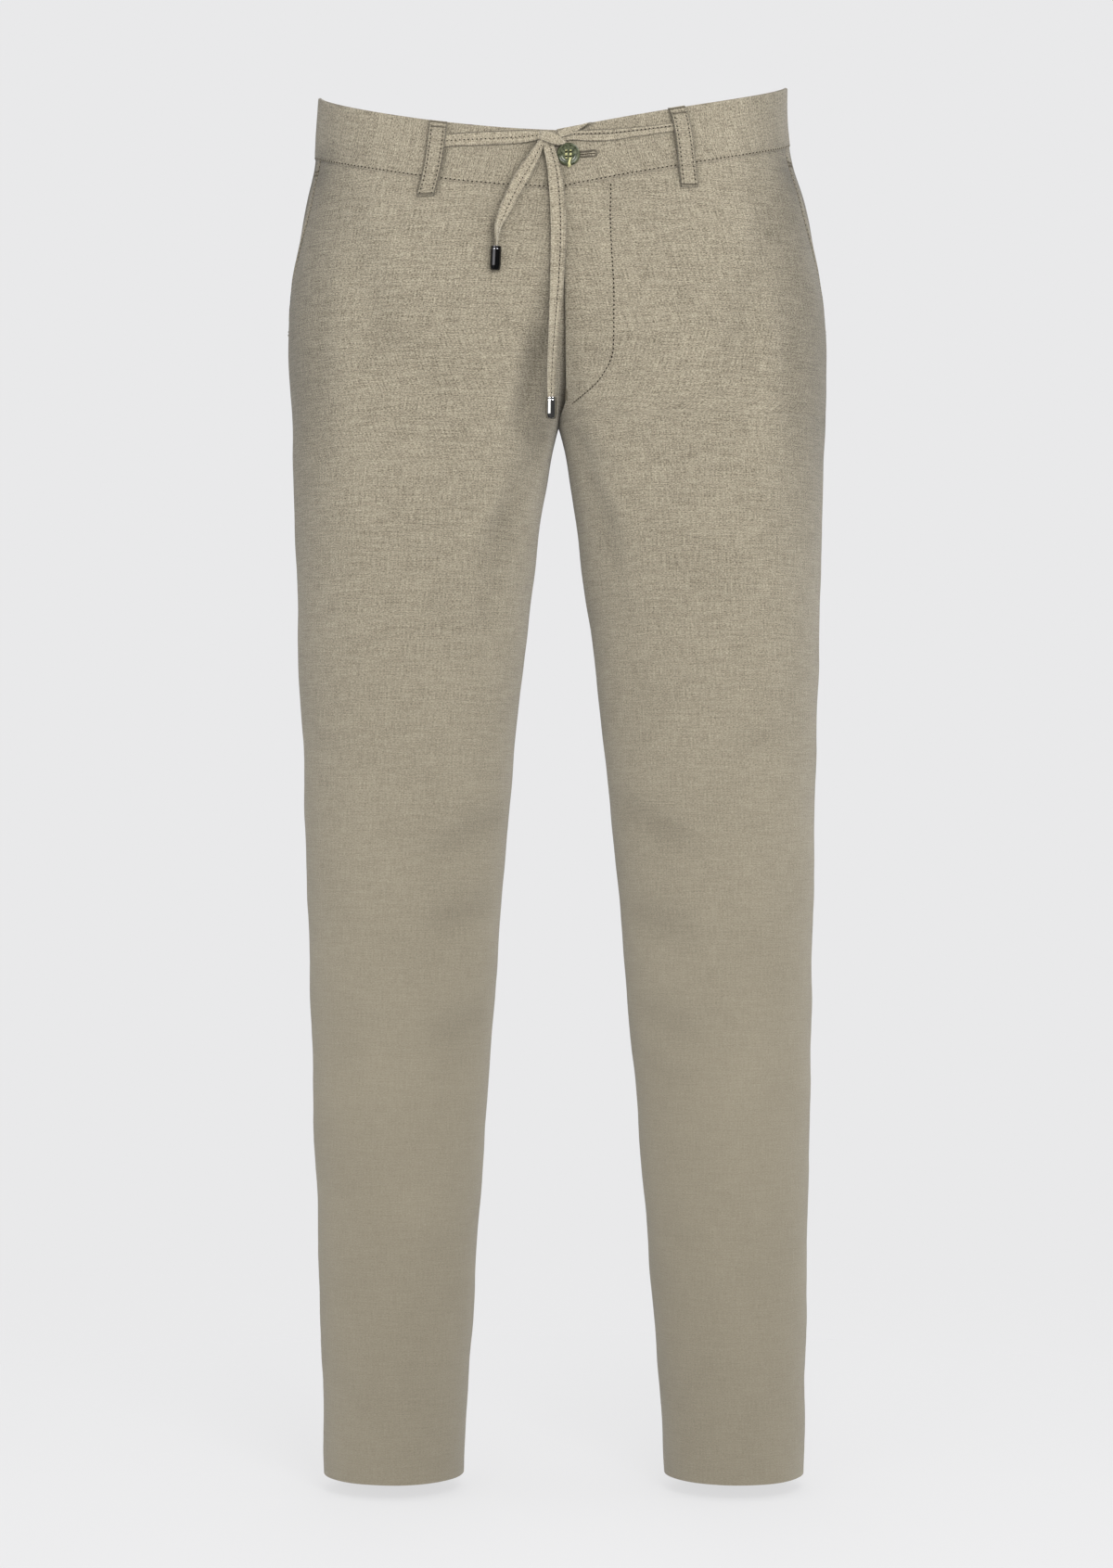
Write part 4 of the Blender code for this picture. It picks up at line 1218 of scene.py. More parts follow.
def painted_side_shade(side, points):
    """Painted shade on the sides: a band that fades inwards, deepest over the pockets, and a spot at
    the pocket's top. Both are weaker, or gone, on the hidden side."""
    x, z = points[..., 0] - lean(points[..., 2]), points[..., 2]
    inset = section(z, "outer") - side * x
    heights, depths = np.array(SIDE_ROWS, float).T
    wide = np.where(z > -30 * MM, 48 * MM, 58 * MM)
    broad = smooth_read(z, heights * MM, depths) * (1 - smoothstep(inset, 4 * MM, wide))
    broad = broad * (1.15 if side > 0 else 1.0)
    spot = 0.28 * bell(z + 46 * MM, 22 * MM) * (1 - smoothstep(inset, 5 * MM, 28 * MM))
    hidden = smoothstep(points[..., 1], 0, 26 * MM)
    return broad * (1 - 0.55 * hidden) + spot * (z < -24 * MM) * (1 - hidden)


def loop_middle(loop, down):
    """Angle of a belt loop's middle line at a share down it, without its bow."""
    return np.radians(loop["top_angle"] * (1 - down) + loop["end_angle"] * down)


def loop_bow(loop, down):
    """How far a loop bends sideways there: a half wave, fullest above the middle."""
    return loop["bow"] * MM * np.sin(math.pi * down**0.75)


# Lines in the front view, as (x, z) in mm, with the half width and the depth of the painted shade
# # round each: the drawstring's ends, a little off their middles, the hollow beside the long one, and
# # the edge of the tucked strand.
SHADOW_LINES = (
    ([(row[0] - 2.6, row[1]) for row in CORD_ROUTES["drawstring_long_end"]], 7.5, 0.26),
    ([(row[0] - 2.6, row[1]) for row in CORD_ROUTES["drawstring_short_end"]], 5.5, 0.30),
    (((-14, -182), (-15, -234)), 15, 0.22),
    (((7.4, -29.6), (12.4, -26.6), (17.4, -24.0), (25.8, -20.2)), 1.2, 0.6),
)


def painted_shadows(side, angle, points):
    """Painted shadows that the loops and the drawstring close to the cloth cast on it: a bell on both
    sides of each loop, and one round each shadow line."""
    x, z = points[..., 0], points[..., 2]
    drop = top_edge(side, angle) - z
    total = np.zeros(x.shape)
    for loop in LOOPS:
        if loop["side"] == side:
            down = (drop / MM - loop["top_drop"]) / (loop["end_drop"] - loop["top_drop"])
            beside = np.clip(down, 0, 1)
            away = (angle - loop_middle(loop, beside)) / turn_of(side, angle, z, 1.0)
            near = smoothstep(down, 0, 0.2) * (1 - smoothstep(down, 0.94, 1.03))
            total += 0.26 * near * bell(np.abs(away - loop_bow(loop, beside)) - 7.0 * MM, 1.5 * MM)
    for line, half, deep in SHADOW_LINES:
        total += deep * (angle > 0) * bell(line_distance(x, z, np.array(line) * MM), half * MM)
    return total


def make_panel(name, side, columns_at, share, face):
    """A front (face 1) or back (face -1) leg panel: a wall between the creased cloth and its inner
    face, which lies deeper at the turned-up hem."""
    angle, z = panel_grid(side, columns_at, share, panel_rows(bpy.context.scene.chinos_cloth.grid))
    bare = bare_point(side, angle, z)
    across, down = arc_along(bare, 1), arc_along(bare, 0)
    ends = across, across[:, -1:] - across
    from_side, from_centre = ends if face > 0 else ends[::-1]
    mouth = (1 - smoothstep(-z, 150 * MM, 172 * MM)) * (face > 0)
    sewn = 1 - fly_opening(z) * (face > 0)
    # seams roll in and pucker
    level = smoothstep(np.abs(outward(side, angle, z)[..., 1]), 0.3, 0.75)
    side_roll = bell(from_side, 1.0 * MM) * (1 - 0.75 * mouth)
    centre_roll = bell(from_centre, 0.8 * MM) * sewn * level
    lift = -panel_sink(side, bare) - 0.4 * MM * (side_roll + centre_roll) - 0.20 * MM * bell(down, 1.1 * MM)
    lift += pucker(across, down, 9.5 * MM, 0.07 * MM, 5 * MM)
    lift += pucker(z, from_side, 21 * MM, 0.22 * MM, 7 * MM) * (1 - mouth)
    lift += pucker(z, from_centre, 17 * MM, 0.20 * MM, 6 * MM) * sewn * level
    # painted shade: seams, cast shadows, fold troughs, the crotch, the inner legs and the hems are painted
    #     # darker, and fold ridges a little lighter
    shade = 1 - 0.4 * (bell(from_side, 0.7 * MM) * (1 - mouth) + bell(from_centre, 0.7 * MM))
    shade -= 0.18 * bell(down - SEAM_TUCK, 0.7 * MM) + painted_shadows(side, angle, bare)
    shade -= painted_side_shade(side, bare)
    shade += np.clip(0.09 * fold_height(bare, np.sin(angle)) / MM, -0.20, 0.05)
    crotch = smoothstep(-z, 222 * MM, 238 * MM) * (1 - smoothstep(-z, 245 * MM, 300 * MM))
    shade -= 0.65 * crotch * (1 - smoothstep(from_centre, 0, (17 if face > 0 else 22) * MM))
    to_centre = smoothstep(from_side / (from_side + from_centre), 0.45, 1)
    shade -= 0.12 * smoothstep(-z, 225 * MM, 330 * MM) * to_centre
    shade -= 0.07 * smoothstep(-z, 760 * MM, 1010 * MM)
    if face > 0:
        # the mouth's folded edge stands up, its row of stitches pulls it in, and the edge is painted lighter
        #         # as painted light
        inside = from_side - MOUTH_STITCH
        lift += 0.55 * MM * (1 - smoothstep(inside, -1.0 * MM, 0.4 * MM)) * mouth
        lift -= 0.35 * MM * bell(inside, 0.9 * MM) * mouth
        lift += pucker(z, np.abs(inside), 8 * MM, 0.14 * MM, 5 * MM) * mouth
        shade += 0.14 * mouth * (1 - smoothstep(inside, -2 * MM, 0.5 * MM))
    if face > 0 and side > 0:
        away = line_distance(bare[..., 0], z, fly_line(40))
        lift += pucker(z, away, 7 * MM, 0.06 * MM, 4 * MM) - 0.22 * MM * bell(away, 1.1 * MM)
        # painted shade along the fly's stitched groove
        shade -= 0.12 * bell(away, 1.0 * MM)
    outer = surface(side, angle, z, lift)
    turned_up = 1.0 * MM * (1 - smoothstep(down[-1:] - down, HEM_TURN, HEM_TURN + 1.5 * MM))
    inner = surface(side, angle, z, lift - PANEL_WALL - turned_up)
    middle = across[:, across.shape[1] // 2, None]
    uv = np.stack([across - middle + 0.5 + 0.31 * side, z + 2.0 + 0.17 * face], axis=-1)
    wall = cloth_wall(outer, inner, uv, side, 0.22 * MM, np.clip(shade, 0.3, 1))
    piece = add_piece(name + "_cloth", wall, [finishes()["cloth"]], replaces=[name])


class CHINOS_OT_panels(bpy.types.Operator):
    """Adds the four leg panels and the facings behind the pocket mouths"""

    bl_idname = "chinos.panels"
    bl_label = "Panels"

    def execute(self, context):
        for side, hand in ((-1, "right"), (1, "left")):
            if side > 0:
                share, columns = edge_spaced(86, 230 * MM), front_left_columns
            else:
                even = edge_spaced(84, 225 * MM, ends=(True, False))
                share, columns = np.append(even, np.ones(len(LAPPED) - 1)), front_right_columns
            make_panel(f"front_{hand}", side, columns, share, 1)
            make_panel(f"back_{hand}", side, back_columns, edge_spaced(88, 245 * MM), -1)
            self.make_facing(f"pocket_facing_{hand}", side)
        return {"FINISHED"}

    def make_facing(self, name, side):
        """The layer behind a pocket mouth. It lies close under the mouth's open edge and deeper
        where it is covered."""
        top = SIDE_TOP - WAISTBAND_HEIGHT + 6 * MM
        share = edge_spaced(26, 50 * MM)[None, :]
        z = np.linspace(top, top - MOUTH_LENGTH - 14 * MM, 70)[:, None] + 0 * share
        low = SIDE_SEAM_ANGLE - math.radians(3) + 0 * z
        angle = low * (1 - share) + (mouth_angle(z) + FACING_LAP) * share
        free = smoothstep(angle - SIDE_SEAM_ANGLE, math.radians(0.5), math.radians(3.5))
        free = free * (1 - smoothstep(angle - mouth_angle(z), math.radians(-4), math.radians(-1)))
        sink = FACING_SINK - (FACING_SINK - 0.3 * MM) * free
        outer = surface(side, angle, z, -sink)
        inner = surface(side, angle, z, -sink - PANEL_WALL)
        across = arc_along(outer, 1)
        uv = np.stack([across + 0.2, z + 1.1], axis=-1)
        # painted shade on the sides, as on the panels
        shade = np.clip(1 - painted_side_shade(side, outer), 0.3, 1)
        wall = cloth_wall(outer, inner, uv, side, 0.2 * MM, shade)
        piece = add_piece(name + "_cloth", wall, [finishes()["cloth"]], replaces=[name])


def make_waistband(name, side, count):
    """Half a waistband: two layers, folded at the top, turned in at the seam."""
    down = edge_spaced(26, WAISTBAND_HEIGHT)[:, None]
    if side > 0:
        share = edge_spaced(count, 470 * MM)
    else:
        even = edge_spaced(count, 470 * MM, ends=(True, False))
        share = np.append(even, np.ones(len(WAIST_UNDERLAP) - 1))
    z = -down * WAISTBAND_HEIGHT + 0 * share[None, :]
    for _ in range(BAND_ROUNDS):
        angle = waistband_columns(side, z, share)
        depth = 0.5 * MM + down * (band_height(side, angle) - 0.5 * MM)
        z = top_edge(side, angle) - depth
    bare = bare_point(side, angle, z)
    across = arc_along(bare, 1)
    low = band_height(side, angle) - depth
    lift = WAISTBAND_PROUD - waist_sink(side, bare) - 0.3 * MM * (1 - smoothstep(low, 0, 5 * MM))
    lift -= 0.3 * MM * (bell(low, 0.6 * MM) + 0.9 * bell(depth, 1.0 * MM))
    lift += pucker(across, low, 8 * MM, 0.06 * MM, 7 * MM) - 0.15 * MM * bell(low - 1.9 * MM, 0.8 * MM)
    lift += pucker(across, depth, 13 * MM, 0.08 * MM, 5 * MM)
    # painted shade: darker at the seam and the top fold, on the sides, and under the loops and drawstring
    shade = 1 - 0.25 * bell(low, 0.5 * MM) - 0.2 * bell(depth, 0.7 * MM)
    shade -= painted_side_shade(side, bare) + painted_shadows(side, angle, bare)
    outer = surface(side, angle, z, lift)
    inner = surface(side, angle, z, lift - WAISTBAND_WALL)
    uv = np.stack([depth + 0.8, across + 0.37 * side + 3], axis=-1)
    wall = cloth_wall(outer, inner, uv, side, 0.5 * MM, np.clip(shade, 0.2, 1))
    piece = add_piece(name + "_cloth", wall, [finishes()["cloth"]], replaces=[name])


class CHINOS_OT_waistband(bpy.types.Operator):
    """Adds both halves of the waistband"""

    bl_idname = "chinos.waistband"
    bl_label = "Waistband"

    def execute(self, context):
        make_waistband("waistband_right", -1, 240)
        make_waistband("waistband_left", 1, 250)
        return {"FINISHED"}


def loop_place(loop, down, across):
    """(side, angle, z, clearance) of a belt loop at shares down it and distances across it. It
    stands off by the root of a half wave, and its top end follows the slope of the top edge."""
    side, angle = loop["side"], loop_middle(loop, down)
    drop = (loop["top_drop"] * (1 - down) + loop["end_drop"] * down) * MM
    level = top_edge(side, angle)
    z = level - drop
    angle = angle + turn_of(side, angle, z, across + loop_bow(loop, down))
    z = z + (top_edge(side, angle) - level) * (1 - down) ** 2
    arch = WAISTBAND_PROUD + LOOP_SEAT + LOOP_ARCH * np.sqrt(np.clip(np.sin(math.pi * down), 0, 1))
    return side, angle, z, arch + 0 * angle


class CHINOS_OT_belt_loops(bpy.types.Operator):
    """Adds the five belt loops with their two rows of stitches"""

    bl_idname = "chinos.belt_loops"
    bl_label = "Belt loops"

    def execute(self, context):
        for loop in LOOPS:
            self.make_loop(loop)
        return {"FINISHED"}

    def make_loop(self, loop):
        """A strip that is thicker along its turned-in edges, with two rows of stitches, bars of
        thread at its ends, and painted shade along its edges, its rows and its lower end."""
        made = finishes()
        length = (loop["end_drop"] - loop["top_drop"]) * MM
        down = edge_spaced(64, length)[:, None]
        across = (edge_spaced(20, LOOP_WIDTH)[None, :] - 0.5) * LOOP_WIDTH
        side, angle, z, arch = loop_place(loop, down, across)
        wide = np.abs(across) + 0 * arch
        row = wide - LOOP_STITCH
        lift = 0.28 * MM * smoothstep(row, 0.3 * MM, 1.1 * MM) - 0.16 * MM * bell(row, 0.6 * MM)
        lift += pucker(down * length, np.abs(row), 5 * MM, 0.09 * MM, 2 * MM)
        lift -= 0.45 * MM * bell(wide - LOOP_WIDTH / 2, 0.5 * MM)
        outer = surface(side, angle, z, arch + LOOP_WALL + lift)
        inner = surface(side, angle, z, arch)
        along = length * down + loop["top_angle"] / 90
        uv = np.stack(np.broadcast_arrays(across + 1.3, along), axis=-1)
        # painted shade along the edges, beside the rows and at the lower end
        shade = 1 - 0.62 * smoothstep(wide, 5.5 * MM, 6.15 * MM) - 0.12 * bell(row, 0.6 * MM)
        shade -= 0.2 * smoothstep(down * length, length - 0.9 * MM, length)
        parts = [cloth_wall(outer, inner, uv, side, 0.3 * MM, shade)]
        kinds = [0]
        steps = np.linspace(0.035, 0.965, 200)
        for edge in (-LOOP_STITCH, LOOP_STITCH):
            side, angle, z, arch = loop_place(loop, steps, edge + 0 * steps)
            line, normals = cloth_line(side, angle, z, arch + LOOP_WALL)
            parts += stitch_run(line, normals, 3.2 * MM, hole=0.72 * MM)
            kinds += [1, 2, 4]
        for share in (0.02, 0.085, 0.975):
            steps = np.linspace(-5.6, 5.6, 3) * MM
            side, angle, z, arch = loop_place(loop, share + 0 * steps, steps)
            line, normals = cloth_line(side, angle, z, arch + LOOP_WALL + 0.05 * MM)
            along = unit(line[2] - line[0])
            parts.append(bartack(line[1], along, normals[1], 11.6 * MM, 1.5 * MM, 22))
            kinds.append(3)
        slots = [made[finish] for finish in ("cloth", "thread", "hole", "bartack", "pressed")]
        name = loop["name"]
        piece = add_piece(name + "_cloth", joined(parts), slots, kinds_of(parts, kinds), [name])
        hand = "left" if loop["side"] > 0 else "right"
        size = (LOOP_WIDTH + 0.5 * MM, length + 3 * MM)


# ------------------------------------------------------------------ drawstring


def ribbon_axes(path, flat, turn):
    """Directions ahead, across and through a ribbon at each point of its path."""
    ahead = unit(np.gradient(path, axis=0))
    across = unit(flat - ahead * np.sum(flat * ahead, axis=1, keepdims=True))
    thick = np.cross(ahead, across)
    cos, sin = np.cos(turn)[:, None], np.sin(turn)[:, None]
    return ahead, across * cos + thick * sin, thick * cos - across * sin


def ribbon_section(around, grooves):
    """Half widths across and half thicknesses through a ribbon, round its section: a superellipse,
    pressed in along each groove, (place, depth, half width, face)."""
    turn = turn_round(around)
    cos, sin = np.cos(turn), np.sin(turn)
    a = np.sign(cos) * np.abs(cos) ** 0.72
    b = np.sign(sin) * np.abs(sin) ** 0.55
    for place, depth, half, face in grooves:
        b = b - np.sign(b) * depth * bell(a - place, half) * (np.sign(b) == face)
    return a, b


def make_ribbon(path, axes, width, grooves=(), around=40, thick=CORD_THICKNESS, offset=1.0, edges=(0.3, 0.3)):
    """A flat strip with rounded edges and rounded closed ends. Its folded edges and grooves are
    painted darker, as painted shade. offset moves the strip's weave on."""
    ahead, wide, deep = axes
    a, b = ribbon_section(around, grooves)
    shade = 1 - np.where(a > 0, *edges[::-1]) * smoothstep(np.abs(a), 0.74, 0.97)
    for place, depth, half, face in grooves:
        shade = shade - 0.7 * depth * bell(a - place, half) * (np.sign(b) == face)
    rings = (
        path[:, None]
        + wide[:, None] * (width[:, None] / 2 * a)[..., None]
        + deep[:, None] * (thick / 2 * b)[None, :, None]
    )
    caps = []
    for end, way in ((0, -1), (-1, 1)):
        for share, far in ((0.86, 0.22), (0.5, 0.42)):
            caps.append(path[end] + (rings[end] - path[end]) * share + ahead[end] * way * far * MM)
    rings = np.concatenate([caps[1][None], caps[0][None], rings, caps[2][None], caps[3][None]])
    poles = np.array((path[0] - ahead[0] * 0.5 * MM, path[-1] + ahead[-1] * 0.5 * MM))
    return ribbon_part(rings, poles, a, shade, offset)


def ribbon_part(rings, poles, a, shade, offset):
    """A part from a ribbon's rings and its two closing points, which are painted darker as painted
    shade. Its UV map runs round and along it.
    """
    faces = tube_faces(np.arange(rings[..., 0].size).reshape(rings.shape[:2]))
    along = arc_along(rings.mean(axis=1), 0)
    uv = np.stack(np.broadcast_arrays(a * 5 * MM + offset, along[:, None]), axis=-1).reshape(-1, 2)
    uv = np.concatenate([uv, ((offset, 0.0), (offset, along[-1]))])
    points = np.concatenate([rings.reshape(-1, 3), poles])
    return points, faces, uv, np.append(np.tile(shade, len(rings)), (0.7, 0.7))


def cord_path(name, steps):
    """The middle of a cord. It stands out of the front surface and keeps its x and z."""
    route = spread(CORD_ROUTES[name], CORD_COLUMNS, steps)
    x, z = route["x"] * MM, route["z"] * MM
    side, angle = front_place(x, z)
    path = np.stack([x, bare_point(side, angle, z)[:, 1], z], axis=1)
    lift = fold_height(bare_point(side, angle, z), np.sin(angle))
    path[:, 1] += (route["out"] * MM + lift) / outward(side, angle, z)[:, 1]
    if name == "drawstring_long_end":
        hang = smoothstep(z, -120 * MM, -175 * MM)
        path[:, 1] = path[:, 1] * (1 - hang) + LONG_HANG * hang
    return path, route


# Grooves along the cords: place and half width as shares of the cord's half width, depth as a share
# of its half thickness, and face: (place, depth, half width, face).
CORD_GROOVES = {
    "drawstring_right_band": ((0.08, 0.30, 0.07, -1),),
    "drawstring_left_band": ((-0.30, 0.95, 0.09, -1), (0.36, 0.20, 0.08, -1)),
    "drawstring_long_end": ((0.30, 0.30, 0.07, 1), (0.30, 0.30, 0.07, -1), (0.72, 0.30, 0.06, 1)),
    "drawstring_short_end": ((0.16, 0.32, 0.07, 1), (0.16, 0.3, 0.07, -1)),
}
# Steps along the cord, direction of its flat side, which face is at the front, and how much painted
# # shade darkens its two folded edges. Its stitches follow its first groove.
CORD_STYLES = {
    "drawstring_right_band": (110, (0, 0, -1.0), -1, (0.72, 0.50)),
    "drawstring_left_band": (120, (0, 0, -1.0), -1, (0.72, 0.50)),
    "drawstring_long_end": (190, (1.0, 0, 0), 1, (0.10, 0.35)),
    "drawstring_short_end": (130, (1.0, 0, 0), 1, (0.35, 0.35)),
}


def make_cord(name):
    """A length of the drawstring with its row of stitches. Returns the piece and its path."""
    steps, level, face, edges = CORD_STYLES[name]
    grooves = CORD_GROOVES[name]
    place = grooves[0][0]
    path, route = cord_path(name, steps)
    flat = np.broadcast_to(np.array(level), path.shape)
    turn, width = np.radians(route["turn"]), route["width"] * MM
    axes = ribbon_axes(path, flat, turn)
    parts = [make_ribbon(path, axes, width, grooves, edges=edges)]
    kinds = [0]
    _, wide, deep = axes
    for front in (face, -face) if name.endswith("end") else (face,):
        line = path + wide * (width * place / 2)[:, None] + deep * (front * (CORD_THICKNESS * 0.40))
        parts += stitch_run(line[3:-3], (deep * front)[3:-3], 3.1 * MM, hole=0.68 * MM)
        kinds += [1, 2, 3]
    slots = [finishes()[finish] for finish in ("cord", "thread", "hole", "pressed")]
    piece = add_piece(name + "_cloth", joined(parts), slots, kinds_of(parts, kinds), [name])
    return piece, path


# The knot's strands in mm, each from behind to behind: x, z, distance from the band, width.
KNOT_COLUMNS = ("x", "z", "out", "width")
KNOT_STRANDS = (
    (
        (-12.6, -28.6, 1.6, 6.6),
        (-10.6, -29.4, 5.2, 7.6),
        (-6.8, -31.0, 8.0, 8.6),
        (-2.6, -32.5, 9.0, 9.0),
        (0.4, -33.6, 8.0, 8.2),
        (2.9, -34.0, 6.2, 6.4),
        (4.9, -33.8, 3.9, 4.6),
        (6.2, -33.3, 2.0, 2.6),
    ),
    (
        (-13.4, -31.6, 2.2, 7.0),
        (-9.0, -31.8, 4.2, 7.2),
        (-3.0, -31.2, 5.4, 7.2),
        (2.4, -31.0, 5.0, 6.4),
        (6.4, -31.3, 4.0, 5.0),
    ),
    (
        (-9.4, -38.0, 3.4, 5.2),
        (-8.4, -36.2, 5.6, 6.0),
        (-4.6, -34.0, 6.4, 6.6),
        (0.4, -31.0, 6.2, 6.6),
        (3.6, -28.8, 4.6, 6.0),
        (5.4, -27.6, 2.4, 5.4),
    ),
)


def make_knot():
    """Flat strands laid across each other: the wrap on top, and the two that run under it."""
    parts = []
    for number, rows in enumerate(KNOT_STRANDS):
        route = spread(rows, KNOT_COLUMNS, 70)
        x, z = route["x"] * MM, route["z"] * MM
        side, angle = front_place(x, z)
        path = bare_point(side, angle, z)
        path[:, 1] += route["out"] * MM / outward(side, angle, z)[:, 1]
        ahead = unit(np.gradient(path, axis=0))
        flat = np.cross(ahead, np.broadcast_to(np.array((0, -1.0, 0)), path.shape))
        axes = ribbon_axes(path, flat, np.zeros(len(path)))
        width = route["width"] * MM
        # painted shade along each strand's edges
        parts.append(make_ribbon(path, axes, width, (), 32, 1.9 * MM, 1.0 + number, (0.66, 0.66)))
    return add_cord_piece("knot_cloth", joined(parts), "drawstring_knot")


def add_cord_piece(name, part, node):
    """A piece of the drawstring's cloth alone, in place of one solid."""
    return add_piece(name, part, [finishes()["cord"]], replaces=[node])


def make_tuck():
    """The strand that is tucked in. It is laid out flat on the band, and what passes the band's top
    edge is bent round it in a half circle and goes on down the inside."""
    route = spread(TUCK_ROUTE, TUCK_COLUMNS, 130)
    x, rise, lift, width = (route[name] * MM for name in TUCK_COLUMNS)
    a, b = ribbon_section(40, ())
    ahead = unit(np.stack([np.gradient(x), np.gradient(rise)], axis=-1))
    x = x[:, None] - ahead[:, 1:] * width[:, None] / 2 * a
    rise = rise[:, None] + ahead[:, :1] * width[:, None] / 2 * a
    lift = lift[:, None] + b * 0.6 * MM
    face, back = WAISTBAND_PROUD + 0.1 * MM, WAISTBAND_PROUD - WAISTBAND_WALL - 0.1 * MM
    middle, radius = (face + back) / 2, (face - back) / 2
    rise = rise + radius
    turn = np.clip(rise / radius, 0, math.pi)
    out = middle + (radius + lift) * np.cos(turn)
    press = 0.7 * MM + 1.3 * MM * (1 - smoothstep(x, 13 * MM, 22 * MM))
    up = np.where(rise < 0, rise, np.sin(turn) * (radius + np.minimum(lift, 0.9 * MM) - press))
    up = up - np.maximum(rise - math.pi * radius, 0) - radius
    side, angle = front_place(x, -22 * MM + 0 * x)
    z = top_edge(side, angle) + up
    rings = surface(side, angle, z, out)
    # painted shade along both edges of the strand
    shade = 1 - 0.7 * smoothstep(np.abs(a), 0.72, 1.0)
    part = ribbon_part(rings, rings[[0, -1]].mean(axis=1), a, shade, 4.0)
    return add_cord_piece("tuck_cloth", part, "drawstring_tuck")


def lathe(origin, ahead, profile, around, sideways):
    """A closed turned shape: each (far, radius) of the profile makes a ring, and a point closes
    each end."""
    sideways = unit(sideways - ahead * (sideways @ ahead))
    other = np.cross(ahead, sideways)
    far, radius = np.array(profile, float).T
    turn = turn_round(around)
    round_it = sideways * np.cos(turn)[:, None] + other * np.sin(turn)[:, None]
    rings = origin + ahead * far[:, None, None] + round_it[None] * radius[:, None, None]
    points = np.concatenate([rings.reshape(-1, 3), [origin + ahead * far[0], origin + ahead * far[-1]]])
    return as_part(points, tube_faces(np.arange(len(far) * around).reshape(len(far), around)))


def tip_profile(length):
    """A drawn sleeve: an open collar at the cord, a shallow neck, a long barrel and a domed end."""
    r, dome = TIP_RADIUS, 1.2 * MM
    rounded = [
        (length - dome * (1 - math.sin(t)), r - 0.45 * MM - dome * (1 - math.cos(t)))
        for t in np.linspace(0.1, 1.5, 9)
    ]
    return [
        (0.9 * MM, 0.3 * r),
        (0.8 * MM, r - 1.1 * MM),
        (0.15 * MM, r - 0.9 * MM),
        (0, r - 0.55 * MM),
        (0.12 * MM, r - 0.22 * MM),
        (0.45 * MM, r - 0.08 * MM),
        (1.3 * MM, r - 0.05 * MM),
        (1.6 * MM, r - 0.3 * MM),
        (1.9 * MM, r - 0.3 * MM),
        (2.2 * MM, r),
        (2.8 * MM, r),
        (length * 0.5, r),
        (length - 3.6 * MM, r),
        (length - 3.2 * MM, r - 0.05 * MM),
        *rounded,
        (length, 0.35 * r),
    ]


def make_tip(name, path, length, finish):
    """A metal sleeve that carries on from the cord's end."""
    ahead = unit(path[-1] - path[-8])
    start = path[-1] + ahead * GAP
    sleeve = lathe(start, ahead, tip_profile(length), 56, np.array((1.0, 0, 0)))
    return add_piece(name + "_sleeve", sleeve, [finishes()[finish]], replaces=[name])


class CHINOS_OT_drawstring(bpy.types.Operator):
    """Adds the drawstring: its bands, knot, tucked strand, free ends and their metal sleeves"""

    bl_idname = "chinos.drawstring"
    bl_label = "Drawstring"

    def execute(self, context):
        made = {name: make_cord(name) for name in CORD_ROUTES}
        knot, tuck = make_knot(), make_tuck()
        long_piece, long_path = made["drawstring_long_end"]
        short_piece, short_path = made["drawstring_short_end"]
        tips = (
            make_tip("tip_long", long_path, LONG_TIP_LENGTH, "bright"),
            make_tip("tip_short", short_path, SHORT_TIP_LENGTH, "dark"),
        )
        return {"FINISHED"}


# ------------------------------------------------------------------ stitching, button


